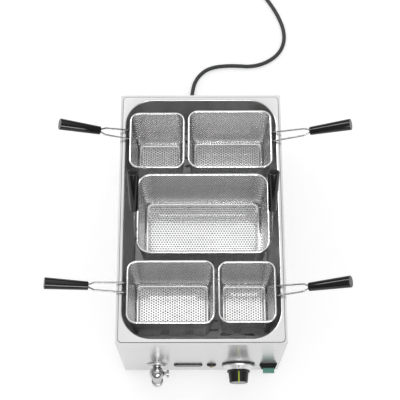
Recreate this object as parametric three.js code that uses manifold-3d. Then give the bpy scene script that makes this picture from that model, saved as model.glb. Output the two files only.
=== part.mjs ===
import * as THREE from 'three';
import { mergeGeometries, mergeVertices } from 'three/addons/utils/BufferGeometryUtils.js';
import Module from 'manifold-3d';

// Countertop electric pasta cooker: a sheet housing round one drawn tank, a slotted false bottom
// over the heating element, and five baskets that lift out by their handles. Millimetres, +Z up,
// front towards -Y, standing on z = 0. The model is built about the housing's middle, and the
// last lines move it so that its box without the mains cord is centred on x = y = 0.

const wasm = await Module();
wasm.setup();

// Clearances and stock
const SEAT_GAP = 0.3;
const OVERRUN = 6;
const SHEET = 1.2;
const WELD_TOLERANCE = 0.0001;

// Housing
const HOUSING_WIDTH = 340;
const HOUSING_LENGTH = 540;
const PLATE_HEIGHT = 300;
const HOUSING_CORNER = 3;
const PLATE_INSET = 5;
const PLATE_CORNER = 8;
const CORNER_STEPS = 4;

// Tank: its opening leaves a border of plate, and its floor stands over the works
const SIDE_BORDER = 12;
const END_BORDER = 13;
const TANK_CORNER = 57;
const TANK_FLOOR = 105;
const TANK_DRAFT = THREE.MathUtils.degToRad(5);
const TANK_LIP = 3;
const TANK_FLOOR_FILLET = 18;
const TANK_CORNER_STEPS = 6;
const TANK_FILLET_STEPS = 3;
const TANK_LIP_STEPS = 2;
const FOLD_CLEARANCE = 1.2;

// Feet and base plate
const FOOT_HEIGHT = 23;
const FOOT_RADIUS = 18;
const FOOT_TIP_RADIUS = 15;
const FOOT_RECESS_RADIUS = 6;
const FOOT_RECESS_DEPTH = 3;
const FOOT_EDGE = 1.5;
const FOOT_INSET = 34;
const FOOT_SEGMENTS = 12;
const VENT_LENGTH = 60;
const VENT_WIDTH = 5;
const VENT_PITCH = 14;
const VENT_COUNT = 6;
const VENT_OFFSET = 80;

// Rear service cover, its screws and the cable entry
const COVER_WIDTH = 250;
const COVER_HEIGHT = 170;
const COVER_CORNER = 4;
const COVER_RISE = 8;
const COVER_OVERLAP = 14;
const SCREW_RADIUS = 1.7;
const SCREW_HEAD_RADIUS = 3.6;
const SCREW_HEAD_HEIGHT = 1.8;
const SCREW_LENGTH = 7;
const SCREW_HOLE_RADIUS = 2.2;
const GLAND_X = -20;
const GLAND_RISE = 27.8;
const GLAND_RADIUS = 12;
const GLAND_NOSE_RADIUS = 9.5;
const GLAND_STEM_RADIUS = 7.7;
const GLAND_STEM_LENGTH = 9;
const GLAND_NUT_LENGTH = 6;
const GLAND_LENGTH = 13;
const RELIEF_LENGTH = 36;
const RELIEF_ROOT_RADIUS = 8;
const RELIEF_COLLAR = 3;
const TERMINAL_WIDTH = 62;
const TERMINAL_DEPTH = 24;
const TERMINAL_HEIGHT = 18;
const TERMINAL_TOOTH = 4;
const TERMINAL_WAYS = 4;
const TERMINAL_SETBACK = 40;

// False bottom: a slotted plate on two rails
const FALSE_BOTTOM_LIFT = 40.7;
const FALSE_BOTTOM_THICKNESS = 1.5;
const FALSE_BOTTOM_CLEARANCE = 1.2;
const SLOT_LENGTH = 19;
const SLOT_WIDTH = 5.5;
const SLOT_ROW_PITCH = 19.7;
const SLOT_MARGIN = 6;
const SLOT_COLUMNS_EACH_SIDE = 5;
const SLOT_BORDER_SHARE = 1.2;
const RAIL_COLUMN_SHARE = 4.5;
const RAIL_LENGTH = 400;
const RAIL_FLANGE = 10;

// Baskets: gaps are measured at the rims, to the tank's opening or to the next basket
const RIM_LIFT = 1;
const RIM_WIRE = 5;
const RIM_SIDES = 6;
const TUB_SHEET = 1;
const TUB_TAPER = 7;
const TUB_FILLET = 5;
const TUB_FILLET_STEPS = 2;
const SMALL_WIDTH = 117;
const SMALL_LENGTH = 127;
const SMALL_CORNER = 20;
const MEDIUM_LENGTH = 131;
const MEDIUM_CORNER = 21;
const LARGE_CORNER = 28;
const SIDE_GAP = 7.6;
const PAIR_GAP = 5.8;
const REAR_SMALL_END_GAP = 28.3;
const REAR_MEDIUM_END_GAP = 23.6;
const FRONT_SMALL_END_GAP = 30.5;
const FRONT_MEDIUM_END_GAP = 28.5;
const LARGE_LEFT_GAP = 26;
const LARGE_RIGHT_GAP = 17;
const LARGE_REAR_GAP = 12;
const LARGE_FRONT_GAP = 14.2;

// Handles
const HANDLE_WIRE = 3.5;
const HANDLE_SIDES = 6;
const HANDLE_SPREAD = 20;
const HANDLE_NECK_SPREAD = 15;
const HANDLE_MOUTH_SPREAD = 4.2;
const HANDLE_NECK = 6;
const HANDLE_BEND = 6;
const HANDLE_DROP = 28;
const GRIP_LENGTH = 87;
const GRIP_MOUTH_RADIUS = 8.7;
const GRIP_END_RADIUS = 11.9;
const GRIP_EDGE = 1.2;
const GRIP_SOCKET_DEPTH = 26;
const GRIP_WALL_GAP = 0.6;
const GRIP_SEGMENTS = 12;
const REAR_SMALL_SETBACK = 12;
const REAR_MEDIUM_SETBACK = 4;
const FRONT_SMALL_SETBACK = 1;
const FRONT_MEDIUM_SETBACK = 8;
const REAR_SMALL_WIRE = 62.8;
const REAR_MEDIUM_WIRE = 81.3;
const FRONT_SMALL_WIRE = 68.1;
const FRONT_MEDIUM_WIRE = 74.5;
const LARGE_WIRE = 58;
const REAR_RISE = THREE.MathUtils.degToRad(23);
const FRONT_MEDIUM_RISE = THREE.MathUtils.degToRad(14);
const FRONT_SMALL_RISE = THREE.MathUtils.degToRad(28);
const LARGE_LEAN = THREE.MathUtils.degToRad(39);
const LARGE_SETBACK = -45;

// Heating element
const ELEMENT_RADIUS = 4;
const ELEMENT_SIDES = 6;
const ELEMENT_PITCH = 50;
const ELEMENT_FRONT = -150;
const ELEMENT_BACK = 205;
const ELEMENT_TAIL_Y = -185;
const ELEMENT_TAIL_LENGTH = 20;
const ELEMENT_TAIL_BEND = 12;
const ELEMENT_LIFT_SHARE = 0.36;
const ELEMENT_HOLE_GAP = 0.8;

// Front controls, in a row under the tank. The width that they leave free is shared out from
// the right edge: switch, knob, lamp, badge and tap each come after their share of it.
const ROUND_SEGMENTS = 16;
const FINE_SEGMENTS = 20;
const SWITCH_GAP_SHARE = 0.0684;
const KNOB_GAP_SHARE = 0.0977;
const LAMP_GAP_SHARE = 0.1162;
const BADGE_GAP_SHARE = 0.0869;
const TAP_GAP_SHARE = 0.1328;
const KNOB_RING_RADIUS = 36;
const KNOB_RING_HEIGHT = 3;
const BEZEL_BASE_RADIUS = 33;
const BEZEL_TOP_RADIUS = 24.5;
const BEZEL_HEIGHT = 11;
const BEZEL_BORE_RADIUS = 9;
const KNOB_FLANGE_RADIUS = 25;
const KNOB_FLANGE_HEIGHT = 2;
const KNOB_BODY_RADIUS = 22;
const KNOB_END_RADIUS = 19.5;
const KNOB_HEIGHT = 25;
const KNOB_CLEARANCE = 0.6;
const KNOB_EDGE = 1;
const POINTER_WIDTH = 2.4;
const POINTER_HEIGHT = 0.9;
const SHAFT_RADIUS = 3;
const SHAFT_GAP = 0.4;
const SHAFT_DEPTH_IN_KNOB = 14;
const SHAFT_HOLE_RADIUS = 5;
const THERMOSTAT_WIDTH = 44;
const THERMOSTAT_HEIGHT = 28;
const THERMOSTAT_DEPTH = 28;
const THERMOSTAT_HEADROOM = 1.8;
const LAMP_RADIUS = 10.3;
const LAMP_HEIGHT = 4;
const LAMP_STEM_RADIUS = 6.5;
const LAMP_BORE_RADIUS = 5.4;
const LAMP_STEM_LENGTH = 8;
const LENS_HEIGHT = 7;
const BADGE_LENGTH = 62;
const BADGE_WIDTH = 18;
const BADGE_THICKNESS = 3.4;
const BADGE_EDGE = 1.2;
const SWITCH_WIDTH = 37;
const SWITCH_TALL = 27;
const SWITCH_FRONT_WIDTH = 29;
const SWITCH_FRONT_TALL = 20;
const SWITCH_HEIGHT = 9;
const SWITCH_CORNER = 3;
const SWITCH_BODY_WIDTH = 30;
const SWITCH_BODY_TALL = 22;
const SWITCH_BODY_DEPTH = 14;
const SWITCH_BODY_CORNER = 1;
const ROCKER_WIDTH = 24.6;
const ROCKER_TALL = 13.2;
const ROCKER_SIDE_GAP = 0.4;
const ROCKER_SWING_GAP = 1.3;
const ROCKER_HEIGHT = 21;
const ROCKER_LOW_HEIGHT = 13;
const ROCKER_TAIL = 5;
const ROCKER_EDGE = 1.4;

// Drain tap
const TAP_FLANGE_RADIUS = 23;
const TAP_FLANGE_HEIGHT = 4.5;
const TAP_NECK_RADIUS = 9;
const TAP_BALL_RADIUS = 16.2;
const TAP_REACH = 35.5;
const TAP_STEM_OUT = 19;
const TAP_BODY_SHARES = [[0.8, 0.3], [1, 0.47], [1, 0.57], [0.88, 0.75], [0.58, 0.92]];
const TAP_NECK_SHARE = 0.2;
const FLANGE_EDGE_SHARE = 0.33;
const FLANGE_FACE_SHARE = 0.8;
const SPOUT_RADIUS = 9.5;
const SPOUT_MOUTH_RADIUS = 12.5;
const SPOUT_BORE_RADIUS = 8.5;
const SPOUT_LENGTH = 40;
const SPOUT_LEAN = THREE.MathUtils.degToRad(18);
const LEVER_STEM_RADIUS = 4;
const LEVER_STEM_LENGTH = 5;
const LEVER_BOSS_RADIUS = 7;
const LEVER_TIP_RADIUS = 5;
const LEVER_LENGTH = 30;
const LEVER_THICKNESS = 5;
const PIPE_RADIUS = 8;
const PIPE_BORE_RADIUS = 6.5;
const PIPE_BEND = 12;
const PIPE_SIDES = 10;
const DRAIN_Y = -196;
const DRAIN_HOLE_GAP = 0.5;

// Mains cord: its free stretch is a list of places from the housing's middle, then a coil
const CORD_DIAMETER = 9.5;
const CORD_SIDES = 8;
const CORD_STEPS = 30;
const CORD_ROUTE = [
  [-20, 339, 59], [-20.2, 356, 53.5], [-20.5, 373, 42], [-20.8, 388, 27.5], [-20.7, 402, 14.5],
  [-19.3, 419, 6.8], [-14.5, 441, 5], [-4.5, 459.5, 4.8], [12.5, 476, 4.8], [35, 485.5, 4.8],
  [69, 489.5, 4.8], [98, 489, 4.8], [120, 488, 4.8], [145, 492, 4.8], [169, 502.5, 4.8], [189.5, 518.5, 4.8],
  [203.5, 539.5, 4.8], [209.8, 564, 4.8], [208.3, 591, 4.8], [200.2, 619, 4.8],
  [185.8, 650, 5], [166.5, 681.5, 5.6],
];
const COIL_X = 190;
const COIL_Y = 762;
const COIL_START = THREE.MathUtils.degToRad(212);
const COIL_TURNS = 3.5;
const COIL_MEAN_RADIUS = 53;
const COIL_TURN_GAP = 0.7;
const COIL_STEPS_A_TURN = 24;
const COIL_SIDES = 6;
const COIL_REVERSE_ROUNDING_SHARE = 0.12;
const TIE_THICKNESS = 1.3;
const TIE_WIDTH = 8;
const TIE_GAP = 0.5;
const TIE_CORNER = 4;
const PLUG_RADIUS = 19;
const PLUG_NECK_RADIUS = 7;
const PLUG_NECK_LENGTH = 14;
const PLUG_SHOULDER_LENGTH = 12;
const PLUG_LENGTH = 46;
const PLUG_EDGE = 2;
const PIN_RADIUS = 2.4;
const PIN_LENGTH = 19;
const PIN_SPACING = 19;

// Sizes and places worked out from those above
const HOUSING_BASE = FOOT_HEIGHT + SHEET;
const FRONT_Y = -HOUSING_LENGTH / 2;
const BACK_Y = HOUSING_LENGTH / 2;
const FOLD_HEIGHT = PLATE_HEIGHT - SHEET;
const TANK_WIDTH = HOUSING_WIDTH - 2 * SIDE_BORDER;
const TANK_LENGTH = HOUSING_LENGTH - 2 * END_BORDER;
const RIM_HEIGHT = PLATE_HEIGHT + RIM_LIFT;
const FALSE_BOTTOM_TOP = TANK_FLOOR + FALSE_BOTTOM_LIFT;
const FALSE_BOTTOM_UNDER = FALSE_BOTTOM_TOP - FALSE_BOTTOM_THICKNESS;
const BASKET_DEPTH = RIM_HEIGHT - FALSE_BOTTOM_TOP - SEAT_GAP;
const FALSE_BOTTOM_INSET = FALSE_BOTTOM_CLEARANCE - tankOffsetAt(FALSE_BOTTOM_UNDER);
const FALSE_BOTTOM_WIDTH = TANK_WIDTH - 2 * FALSE_BOTTOM_INSET;
const SLOT_COLUMN_PITCH = FALSE_BOTTOM_WIDTH / (2 * SLOT_COLUMNS_EACH_SIDE + SLOT_BORDER_SHARE);
const MEDIUM_WIDTH = TANK_WIDTH - 2 * SIDE_GAP - PAIR_GAP - SMALL_WIDTH;
const LARGE_BACK = TANK_LENGTH / 2 - REAR_SMALL_END_GAP - SMALL_LENGTH - LARGE_REAR_GAP;
const LARGE_FRONT = FRONT_MEDIUM_END_GAP + MEDIUM_LENGTH + LARGE_FRONT_GAP - TANK_LENGTH / 2;
const LARGE_WIDTH = TANK_WIDTH - LARGE_LEFT_GAP - LARGE_RIGHT_GAP;
const SMALL_BASKET = { width: SMALL_WIDTH, length: SMALL_LENGTH, corner: SMALL_CORNER };
const MEDIUM_BASKET = { width: MEDIUM_WIDTH, length: MEDIUM_LENGTH, corner: MEDIUM_CORNER };
const LARGE_BASKET = { width: LARGE_WIDTH, length: LARGE_BACK - LARGE_FRONT, corner: LARGE_CORNER };
const CONTROL_HEIGHT = TANK_FLOOR - SHEET - THERMOSTAT_HEADROOM - THERMOSTAT_HEIGHT / 2;
const FREE_WIDTH = HOUSING_WIDTH - SWITCH_WIDTH - BADGE_LENGTH
  - 2 * (KNOB_RING_RADIUS + LAMP_RADIUS + TAP_FLANGE_RADIUS);
const SWITCH_X = HOUSING_WIDTH / 2 - FREE_WIDTH * SWITCH_GAP_SHARE - SWITCH_WIDTH / 2;
const KNOB_X = SWITCH_X - SWITCH_WIDTH / 2 - FREE_WIDTH * KNOB_GAP_SHARE - KNOB_RING_RADIUS;
const LAMP_X = KNOB_X - KNOB_RING_RADIUS - FREE_WIDTH * LAMP_GAP_SHARE - LAMP_RADIUS;
const BADGE_X = LAMP_X - LAMP_RADIUS - FREE_WIDTH * BADGE_GAP_SHARE - BADGE_LENGTH / 2;
const TAP_X = BADGE_X - BADGE_LENGTH / 2 - FREE_WIDTH * TAP_GAP_SHARE - TAP_FLANGE_RADIUS;
const COVER_BASE = HOUSING_BASE + COVER_RISE;
const COVER_MIDDLE = COVER_BASE + COVER_HEIGHT / 2;
const GLAND_HEIGHT = COVER_BASE + GLAND_RISE;
const CORD_RADIUS = CORD_DIAMETER / 2;
const ELEMENT_TAIL_X = 1.5 * ELEMENT_PITCH;
const UP = new THREE.Vector3(0, 1, 0);

// Finishes
function finish(color, roughness, metalness) {
  return new THREE.MeshStandardMaterial({ color, roughness, metalness });
}
const BRUSHED = finish(0xd4d5d4, 0.35, 1);
const TANK_STEEL = finish(0xb8b9b9, 0.3, 1);
const BASKET_STEEL = finish(0xdadbda, 0.25, 1);
const CHROME = finish(0xe8e8e8, 0.08, 1);
const BLACK_GLOSS = finish(0x0c0c0d, 0.15, 0);
const BLACK_MATTE = finish(0x26262a, 0.5, 0);
const RUBBER = finish(0x3a3a3c, 0.8, 0);
const CORD_RUBBER = finish(0x55565a, 0.7, 0);
const POINTER_YELLOW = finish(0xc9d43a, 0.45, 0);
const ROCKER_GREEN = finish(0x6fae97, 0.3, 0);
const LENS_AMBER = finish(0x8d8a62, 0.2, 0);
const NYLON = finish(0xe6e4dc, 0.6, 0);

// Geometry helpers
function signedVolume(geometry) {
  const flat = geometry.index ? geometry.toNonIndexed() : geometry;
  const at = flat.getAttribute('position');
  const corners = [new THREE.Vector3(), new THREE.Vector3(), new THREE.Vector3()];
  let volume = 0;
  for (let i = 0; i < at.count; i += 3) {
    corners.forEach((corner, k) => corner.fromBufferAttribute(at, i + k));
    volume += corners[0].dot(corners[1].cross(corners[2]));
  }
  return volume;
}

function welded(geometry) {
  const bare = geometry.clone();
  bare.deleteAttribute('normal');
  bare.deleteAttribute('uv');
  const merged = mergeVertices(bare, WELD_TOLERANCE);
  if (signedVolume(merged) < 0) {
    const index = merged.getIndex();
    for (let i = 0; i < index.count; i += 3) {
      const kept = index.getX(i);
      index.setX(i, index.getX(i + 2));
      index.setX(i + 2, kept);
    }
  }
  merged.computeVertexNormals();
  return merged;
}

function toManifold(geometry) {
  const solid = welded(geometry);
  return new wasm.Manifold(new wasm.Mesh({
    numProp: 3,
    vertProperties: Float32Array.from(solid.getAttribute('position').array),
    triVerts: Uint32Array.from(solid.getIndex().array),
  }));
}

function fromManifold(manifold) {
  const mesh = manifold.getMesh();
  const geometry = new THREE.BufferGeometry();
  geometry.setAttribute('position', new THREE.BufferAttribute(mesh.vertProperties, mesh.numProp));
  geometry.setIndex(new THREE.BufferAttribute(mesh.triVerts, 1));
  geometry.computeVertexNormals();
  return geometry;
}

function cut(geometry, ...tools) {
  return fromManifold(tools.reduce((body, tool) => body.subtract(toManifold(tool)), toManifold(geometry)));
}

function join(geometry, ...others) {
  return fromManifold(others.reduce((body, other) => body.add(toManifold(other)), toManifold(geometry)));
}

// A rectangle with round corners, anticlockwise from the right side, as flat points
function roundedRect(width, length, radius, steps = CORNER_STEPS) {
  const middles = [[1, 1], [-1, 1], [-1, -1], [1, -1]];
  const points = [];
  middles.forEach(([sx, sy], quarter) => {
    for (let k = 0; k <= steps; k += 1) {
      const angle = (quarter + k / steps) * Math.PI / 2;
      points.push(new THREE.Vector2(
        sx * (width / 2 - radius) + radius * Math.cos(angle),
        sy * (length / 2 - radius) + radius * Math.sin(angle),
      ));
    }
  });
  return points;
}

// A solid skinned over rings that have as many points each. It is capped at both ends, or
// the last ring joins the first.
function loft(rings, closed = false) {
  const count = rings[0].length;
  const points = rings.flat();
  const index = [];
  const bands = closed ? rings.length : rings.length - 1;
  for (let r = 0; r < bands; r += 1) {
    const low = r * count;
    const high = ((r + 1) % rings.length) * count;
    for (let k = 0; k < count; k += 1) {
      const next = (k + 1) % count;
      index.push(low + k, low + next, high + next, low + k, high + next, high + k);
    }
  }
  if (!closed) {
    const ends = [[rings[0], 0, -1], [rings[rings.length - 1], (rings.length - 1) * count, 1]];
    ends.forEach(([ring, first, way]) => {
      const middle = ring.reduce((sum, p) => sum.add(p), new THREE.Vector3()).divideScalar(count);
      points.push(middle);
      for (let k = 0; k < count; k += 1) {
        const next = (k + 1) % count;
        const pair = way > 0 ? [k, next] : [next, k];
        index.push(first + pair[0], first + pair[1], points.length - 1);
      }
    });
  }
  const geometry = new THREE.BufferGeometry();
  geometry.setAttribute('position', new THREE.Float32BufferAttribute(points.flatMap((p) => p.toArray()), 3));
  geometry.setIndex(index);
  return welded(geometry);
}

function levelRing(outline, z) {
  return outline.map((p) => new THREE.Vector3(p.x, p.y, z));
}

function uprightRing(outline, out) {
  return outline.map((p) => new THREE.Vector3(p.x, -out, p.y));
}

// A piece turned about the Y axis from points (radius, distance out). Outward is -Y on the front.
function turned(profile, segments = ROUND_SEGMENTS) {
  const lathe = new THREE.LatheGeometry(profile.map(([r, out]) => new THREE.Vector2(r, out)), segments);
  return welded(lathe.rotateZ(Math.PI));
}

function turnedRing(profile, segments = ROUND_SEGMENTS) {
  return turned([...profile, profile[0]], segments);
}

// A path that steps from one listed point to the next
class PointPath extends THREE.Curve {
  constructor(points) {
    super();
    this.points = points;
  }

  getPoint(t, target = new THREE.Vector3()) {
    const along = t * (this.points.length - 1);
    const i = Math.min(Math.floor(along), this.points.length - 2);
    return target.lerpVectors(this.points[i], this.points[i + 1], along - i);
  }

  getPointAt(u, target) {
    return this.getPoint(u, target);
  }

  getTangentAt(u, target = new THREE.Vector3()) {
    const i = Math.round(u * (this.points.length - 1));
    const before = this.points[Math.max(i - 1, 0)];
    const after = this.points[Math.min(i + 1, this.points.length - 1)];
    return target.subVectors(after, before).normalize();
  }
}

function disc(radius, sides) {
  const points = [];
  for (let k = 0; k < sides; k += 1) {
    const angle = 2 * Math.PI * k / sides;
    points.push(new THREE.Vector2(radius * Math.cos(angle), radius * Math.sin(angle)));
  }
  return new THREE.Shape(points);
}

function tubeAlong(points, radius, sides, boreRadius = 0) {
  const section = disc(radius, sides);
  if (boreRadius > 0) {
    section.holes.push(disc(boreRadius, sides));
  }
  const path = new PointPath(points);
  return welded(new THREE.ExtrudeGeometry(section, { extrudePath: path, steps: points.length - 1 }));
}

// Rounds the corners of a run of straight stretches. Each corner is [x, y, z, bend radius].
function bentPath(corners, turnStep = Math.PI / 8) {
  const at = corners.map(([x, y, z]) => new THREE.Vector3(x, y, z));
  const path = [at[0]];
  for (let i = 1; i < at.length - 1; i += 1) {
    const into = at[i].clone().sub(at[i - 1]).normalize();
    const onward = at[i + 1].clone().sub(at[i]).normalize();
    const turn = into.angleTo(onward);
    const radius = corners[i][3];
    const reach = radius * Math.tan(turn / 2);
    const steps = Math.max(1, Math.ceil(turn / turnStep));
    const inward = onward.clone().addScaledVector(into, -onward.dot(into)).normalize();
    const start = at[i].clone().addScaledVector(into, -reach);
    for (let k = 0; k <= steps; k += 1) {
      const angle = turn * k / steps;
      path.push(start.clone().addScaledVector(into, radius * Math.sin(angle))
        .addScaledVector(inward, radius * (1 - Math.cos(angle))));
    }
  }
  path.push(at[at.length - 1]);
  return path;
}

function sheetPlate(width, length, corner, thickness) {
  const outline = new THREE.Shape(roundedRect(width, length, corner, TANK_CORNER_STEPS));
  return new THREE.ExtrudeGeometry(outline, { depth: thickness, bevelEnabled: false });
}

function slotTool(places, length, width) {
  return mergeGeometries(places.map(([x, y]) => (
    new THREE.BoxGeometry(length, width, 2 * OVERRUN).translate(x, y, 0)
  )));
}

function piece(parent, name, geometry, material) {
  const mesh = new THREE.Mesh(geometry, material);
  mesh.name = name;
  parent.add(mesh);
  return mesh;
}

function groupAt(parent, x, y, z) {
  const group = new THREE.Group();
  group.position.set(x, y, z);
  parent.add(group);
  return group;
}

// Housing

function tankOffsetAt(z) {
  return -Math.tan(TANK_DRAFT) * (PLATE_HEIGHT - TANK_LIP - z);
}

function tankRing(offset, z) {
  const outline = roundedRect(
    TANK_WIDTH + 2 * offset, TANK_LENGTH + 2 * offset, TANK_CORNER + offset, TANK_CORNER_STEPS,
  );
  return levelRing(outline, z);
}

function tankGeometry() {
  const flange = (z) => levelRing(roundedRect(
    HOUSING_WIDTH - 2 * PLATE_INSET, HOUSING_LENGTH - 2 * PLATE_INSET, PLATE_CORNER, TANK_CORNER_STEPS,
  ), z);
  const lipHeight = PLATE_HEIGHT - TANK_LIP;
  const filletHeight = TANK_FLOOR + TANK_FLOOR_FILLET;
  const wallFoot = tankOffsetAt(filletHeight);
  const skin = (grow) => {
    const lip = TANK_LIP - grow;
    const fillet = TANK_FLOOR_FILLET + grow;
    const rings = [];
    for (let k = TANK_FILLET_STEPS; k >= 0; k -= 1) {
      const angle = Math.PI / 2 * k / TANK_FILLET_STEPS;
      const offset = wallFoot + grow - fillet * (1 - Math.cos(angle));
      rings.push(tankRing(offset, filletHeight - fillet * Math.sin(angle)));
    }
    for (let k = TANK_LIP_STEPS; k >= 0; k -= 1) {
      const angle = Math.PI / 2 * k / TANK_LIP_STEPS;
      rings.push(tankRing(TANK_LIP - lip * Math.sin(angle), lipHeight + lip * Math.cos(angle)));
    }
    return rings;
  };
  const body = loft([...skin(0), flange(PLATE_HEIGHT), flange(FOLD_HEIGHT), ...skin(SHEET).reverse()]);
  const drain = new THREE.CylinderGeometry(
    PIPE_RADIUS + DRAIN_HOLE_GAP, PIPE_RADIUS + DRAIN_HOLE_GAP, 2 * OVERRUN, ROUND_SEGMENTS,
  );
  drain.rotateX(Math.PI / 2).translate(TAP_X, DRAIN_Y, TANK_FLOOR);
  const tails = [-1, 1].map((side) => {
    const hole = new THREE.CylinderGeometry(
      ELEMENT_RADIUS + ELEMENT_HOLE_GAP, ELEMENT_RADIUS + ELEMENT_HOLE_GAP, 2 * OVERRUN, ROUND_SEGMENTS,
    );
    return hole.rotateX(Math.PI / 2).translate(side * ELEMENT_TAIL_X, ELEMENT_TAIL_Y, TANK_FLOOR);
  });
  return cut(body, drain, ...tails);
}

function frontHole(radius, x) {
  const hole = new THREE.CylinderGeometry(radius, radius, 2 * OVERRUN, ROUND_SEGMENTS);
  return hole.translate(x, FRONT_Y, CONTROL_HEIGHT);
}

function coverCorners() {
  const inset = COVER_OVERLAP / 2;
  return [[-1, -1], [1, -1], [-1, 1], [1, 1]].map(([sx, sz]) => [
    sx * (COVER_WIDTH / 2 - inset), COVER_MIDDLE + sz * (COVER_HEIGHT / 2 - inset),
  ]);
}

function screwHoles(y) {
  return coverCorners().map(([x, z]) => {
    const hole = new THREE.CylinderGeometry(
      SCREW_HOLE_RADIUS, SCREW_HOLE_RADIUS, 2 * OVERRUN, ROUND_SEGMENTS / 2,
    );
    return hole.translate(x, y, z);
  });
}

function housingGeometry() {
  const outer = (z) => levelRing(roundedRect(HOUSING_WIDTH, HOUSING_LENGTH, HOUSING_CORNER), z);
  const inner = (z) => levelRing(roundedRect(
    HOUSING_WIDTH - 2 * SHEET, HOUSING_LENGTH - 2 * SHEET, HOUSING_CORNER - SHEET,
  ), z);
  const foldOffset = TANK_LIP + FOLD_CLEARANCE;
  const fold = (z) => levelRing(roundedRect(
    TANK_WIDTH + 2 * foldOffset, TANK_LENGTH + 2 * foldOffset, TANK_CORNER + foldOffset,
  ), z);
  const wrap = loft([
    outer(HOUSING_BASE), outer(FOLD_HEIGHT), fold(FOLD_HEIGHT),
    fold(FOLD_HEIGHT - SHEET), inner(FOLD_HEIGHT - SHEET), inner(HOUSING_BASE),
  ], true);
  const switchHole = new THREE.BoxGeometry(
    SWITCH_BODY_WIDTH + 2 * SEAT_GAP, 2 * OVERRUN, SWITCH_BODY_TALL + 2 * SEAT_GAP,
  );
  switchHole.translate(SWITCH_X, FRONT_Y, CONTROL_HEIGHT);
  const service = new THREE.BoxGeometry(
    COVER_WIDTH - 2 * COVER_OVERLAP, 2 * OVERRUN, COVER_HEIGHT - 2 * COVER_OVERLAP,
  );
  service.translate(0, BACK_Y, COVER_MIDDLE);
  return cut(
    wrap,
    frontHole(SHAFT_HOLE_RADIUS, KNOB_X),
    frontHole(LAMP_STEM_RADIUS + SEAT_GAP, LAMP_X),
    frontHole(PIPE_RADIUS + DRAIN_HOLE_GAP, TAP_X),
    switchHole,
    service,
    ...screwHoles(BACK_Y),
  );
}

function coverGeometry() {
  const plate = new THREE.ExtrudeGeometry(
    new THREE.Shape(roundedRect(COVER_WIDTH, COVER_HEIGHT, COVER_CORNER)),
    { depth: SHEET, bevelEnabled: false },
  );
  plate.rotateX(Math.PI / 2).translate(0, BACK_Y + SHEET, COVER_MIDDLE);
  const entry = new THREE.CylinderGeometry(
    GLAND_STEM_RADIUS + SEAT_GAP, GLAND_STEM_RADIUS + SEAT_GAP, 2 * OVERRUN, ROUND_SEGMENTS,
  );
  entry.translate(GLAND_X, BACK_Y, GLAND_HEIGHT);
  return cut(plate, entry, ...screwHoles(BACK_Y));
}

function screwGeometry() {
  const crown = SCREW_HEAD_HEIGHT / 2;
  return turned([
    [0, -SCREW_LENGTH], [SCREW_RADIUS, -SCREW_LENGTH], [SCREW_RADIUS, 0],
    [SCREW_HEAD_RADIUS, 0], [SCREW_HEAD_RADIUS - crown, crown + crown], [0, SCREW_HEAD_HEIGHT],
  ].map(([r, out]) => [r, -out]), ROUND_SEGMENTS / 2);
}

function basePlateGeometry() {
  const places = [];
  for (const side of [-1, 1]) {
    for (let k = 0; k < VENT_COUNT; k += 1) {
      places.push([side * VENT_OFFSET, (k - (VENT_COUNT - 1) / 2) * VENT_PITCH]);
    }
  }
  return cut(
    sheetPlate(HOUSING_WIDTH, HOUSING_LENGTH, HOUSING_CORNER, SHEET),
    slotTool(places, VENT_LENGTH, VENT_WIDTH),
  );
}

function footGeometry() {
  const foot = new THREE.LatheGeometry([
    [0, FOOT_RECESS_DEPTH], [FOOT_RECESS_RADIUS, FOOT_RECESS_DEPTH], [FOOT_RECESS_RADIUS, 0],
    [FOOT_TIP_RADIUS - FOOT_EDGE, 0], [FOOT_TIP_RADIUS, FOOT_EDGE], [FOOT_RADIUS, FOOT_HEIGHT],
    [0, FOOT_HEIGHT],
  ].map(([r, z]) => new THREE.Vector2(r, z)), FOOT_SEGMENTS);
  return welded(foot.rotateX(Math.PI / 2));
}

function buildHousing(parent) {
  piece(parent, 'housing_wrap', housingGeometry(), BRUSHED);
  piece(parent, 'back_cover', coverGeometry(), BRUSHED);
  coverCorners().forEach(([x, z], k) => {
    const seat = groupAt(parent, x, BACK_Y + SHEET, z);
    piece(seat, `cover_screw_${k + 1}`, screwGeometry(), CHROME);
  });
  piece(groupAt(parent, 0, 0, FOOT_HEIGHT), 'base_plate', basePlateGeometry(), BRUSHED);
  const corners = { front_left: [-1, -1], front_right: [1, -1], rear_left: [-1, 1], rear_right: [1, 1] };
  for (const [corner, [sx, sy]] of Object.entries(corners)) {
    const place = groupAt(
      parent, sx * (HOUSING_WIDTH / 2 - FOOT_INSET), sy * (HOUSING_LENGTH / 2 - FOOT_INSET), 0,
    );
    piece(place, `foot_${corner}`, footGeometry(), RUBBER);
  }
  piece(parent, 'tank', tankGeometry(), TANK_STEEL);
}

// False bottom and heating

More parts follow.
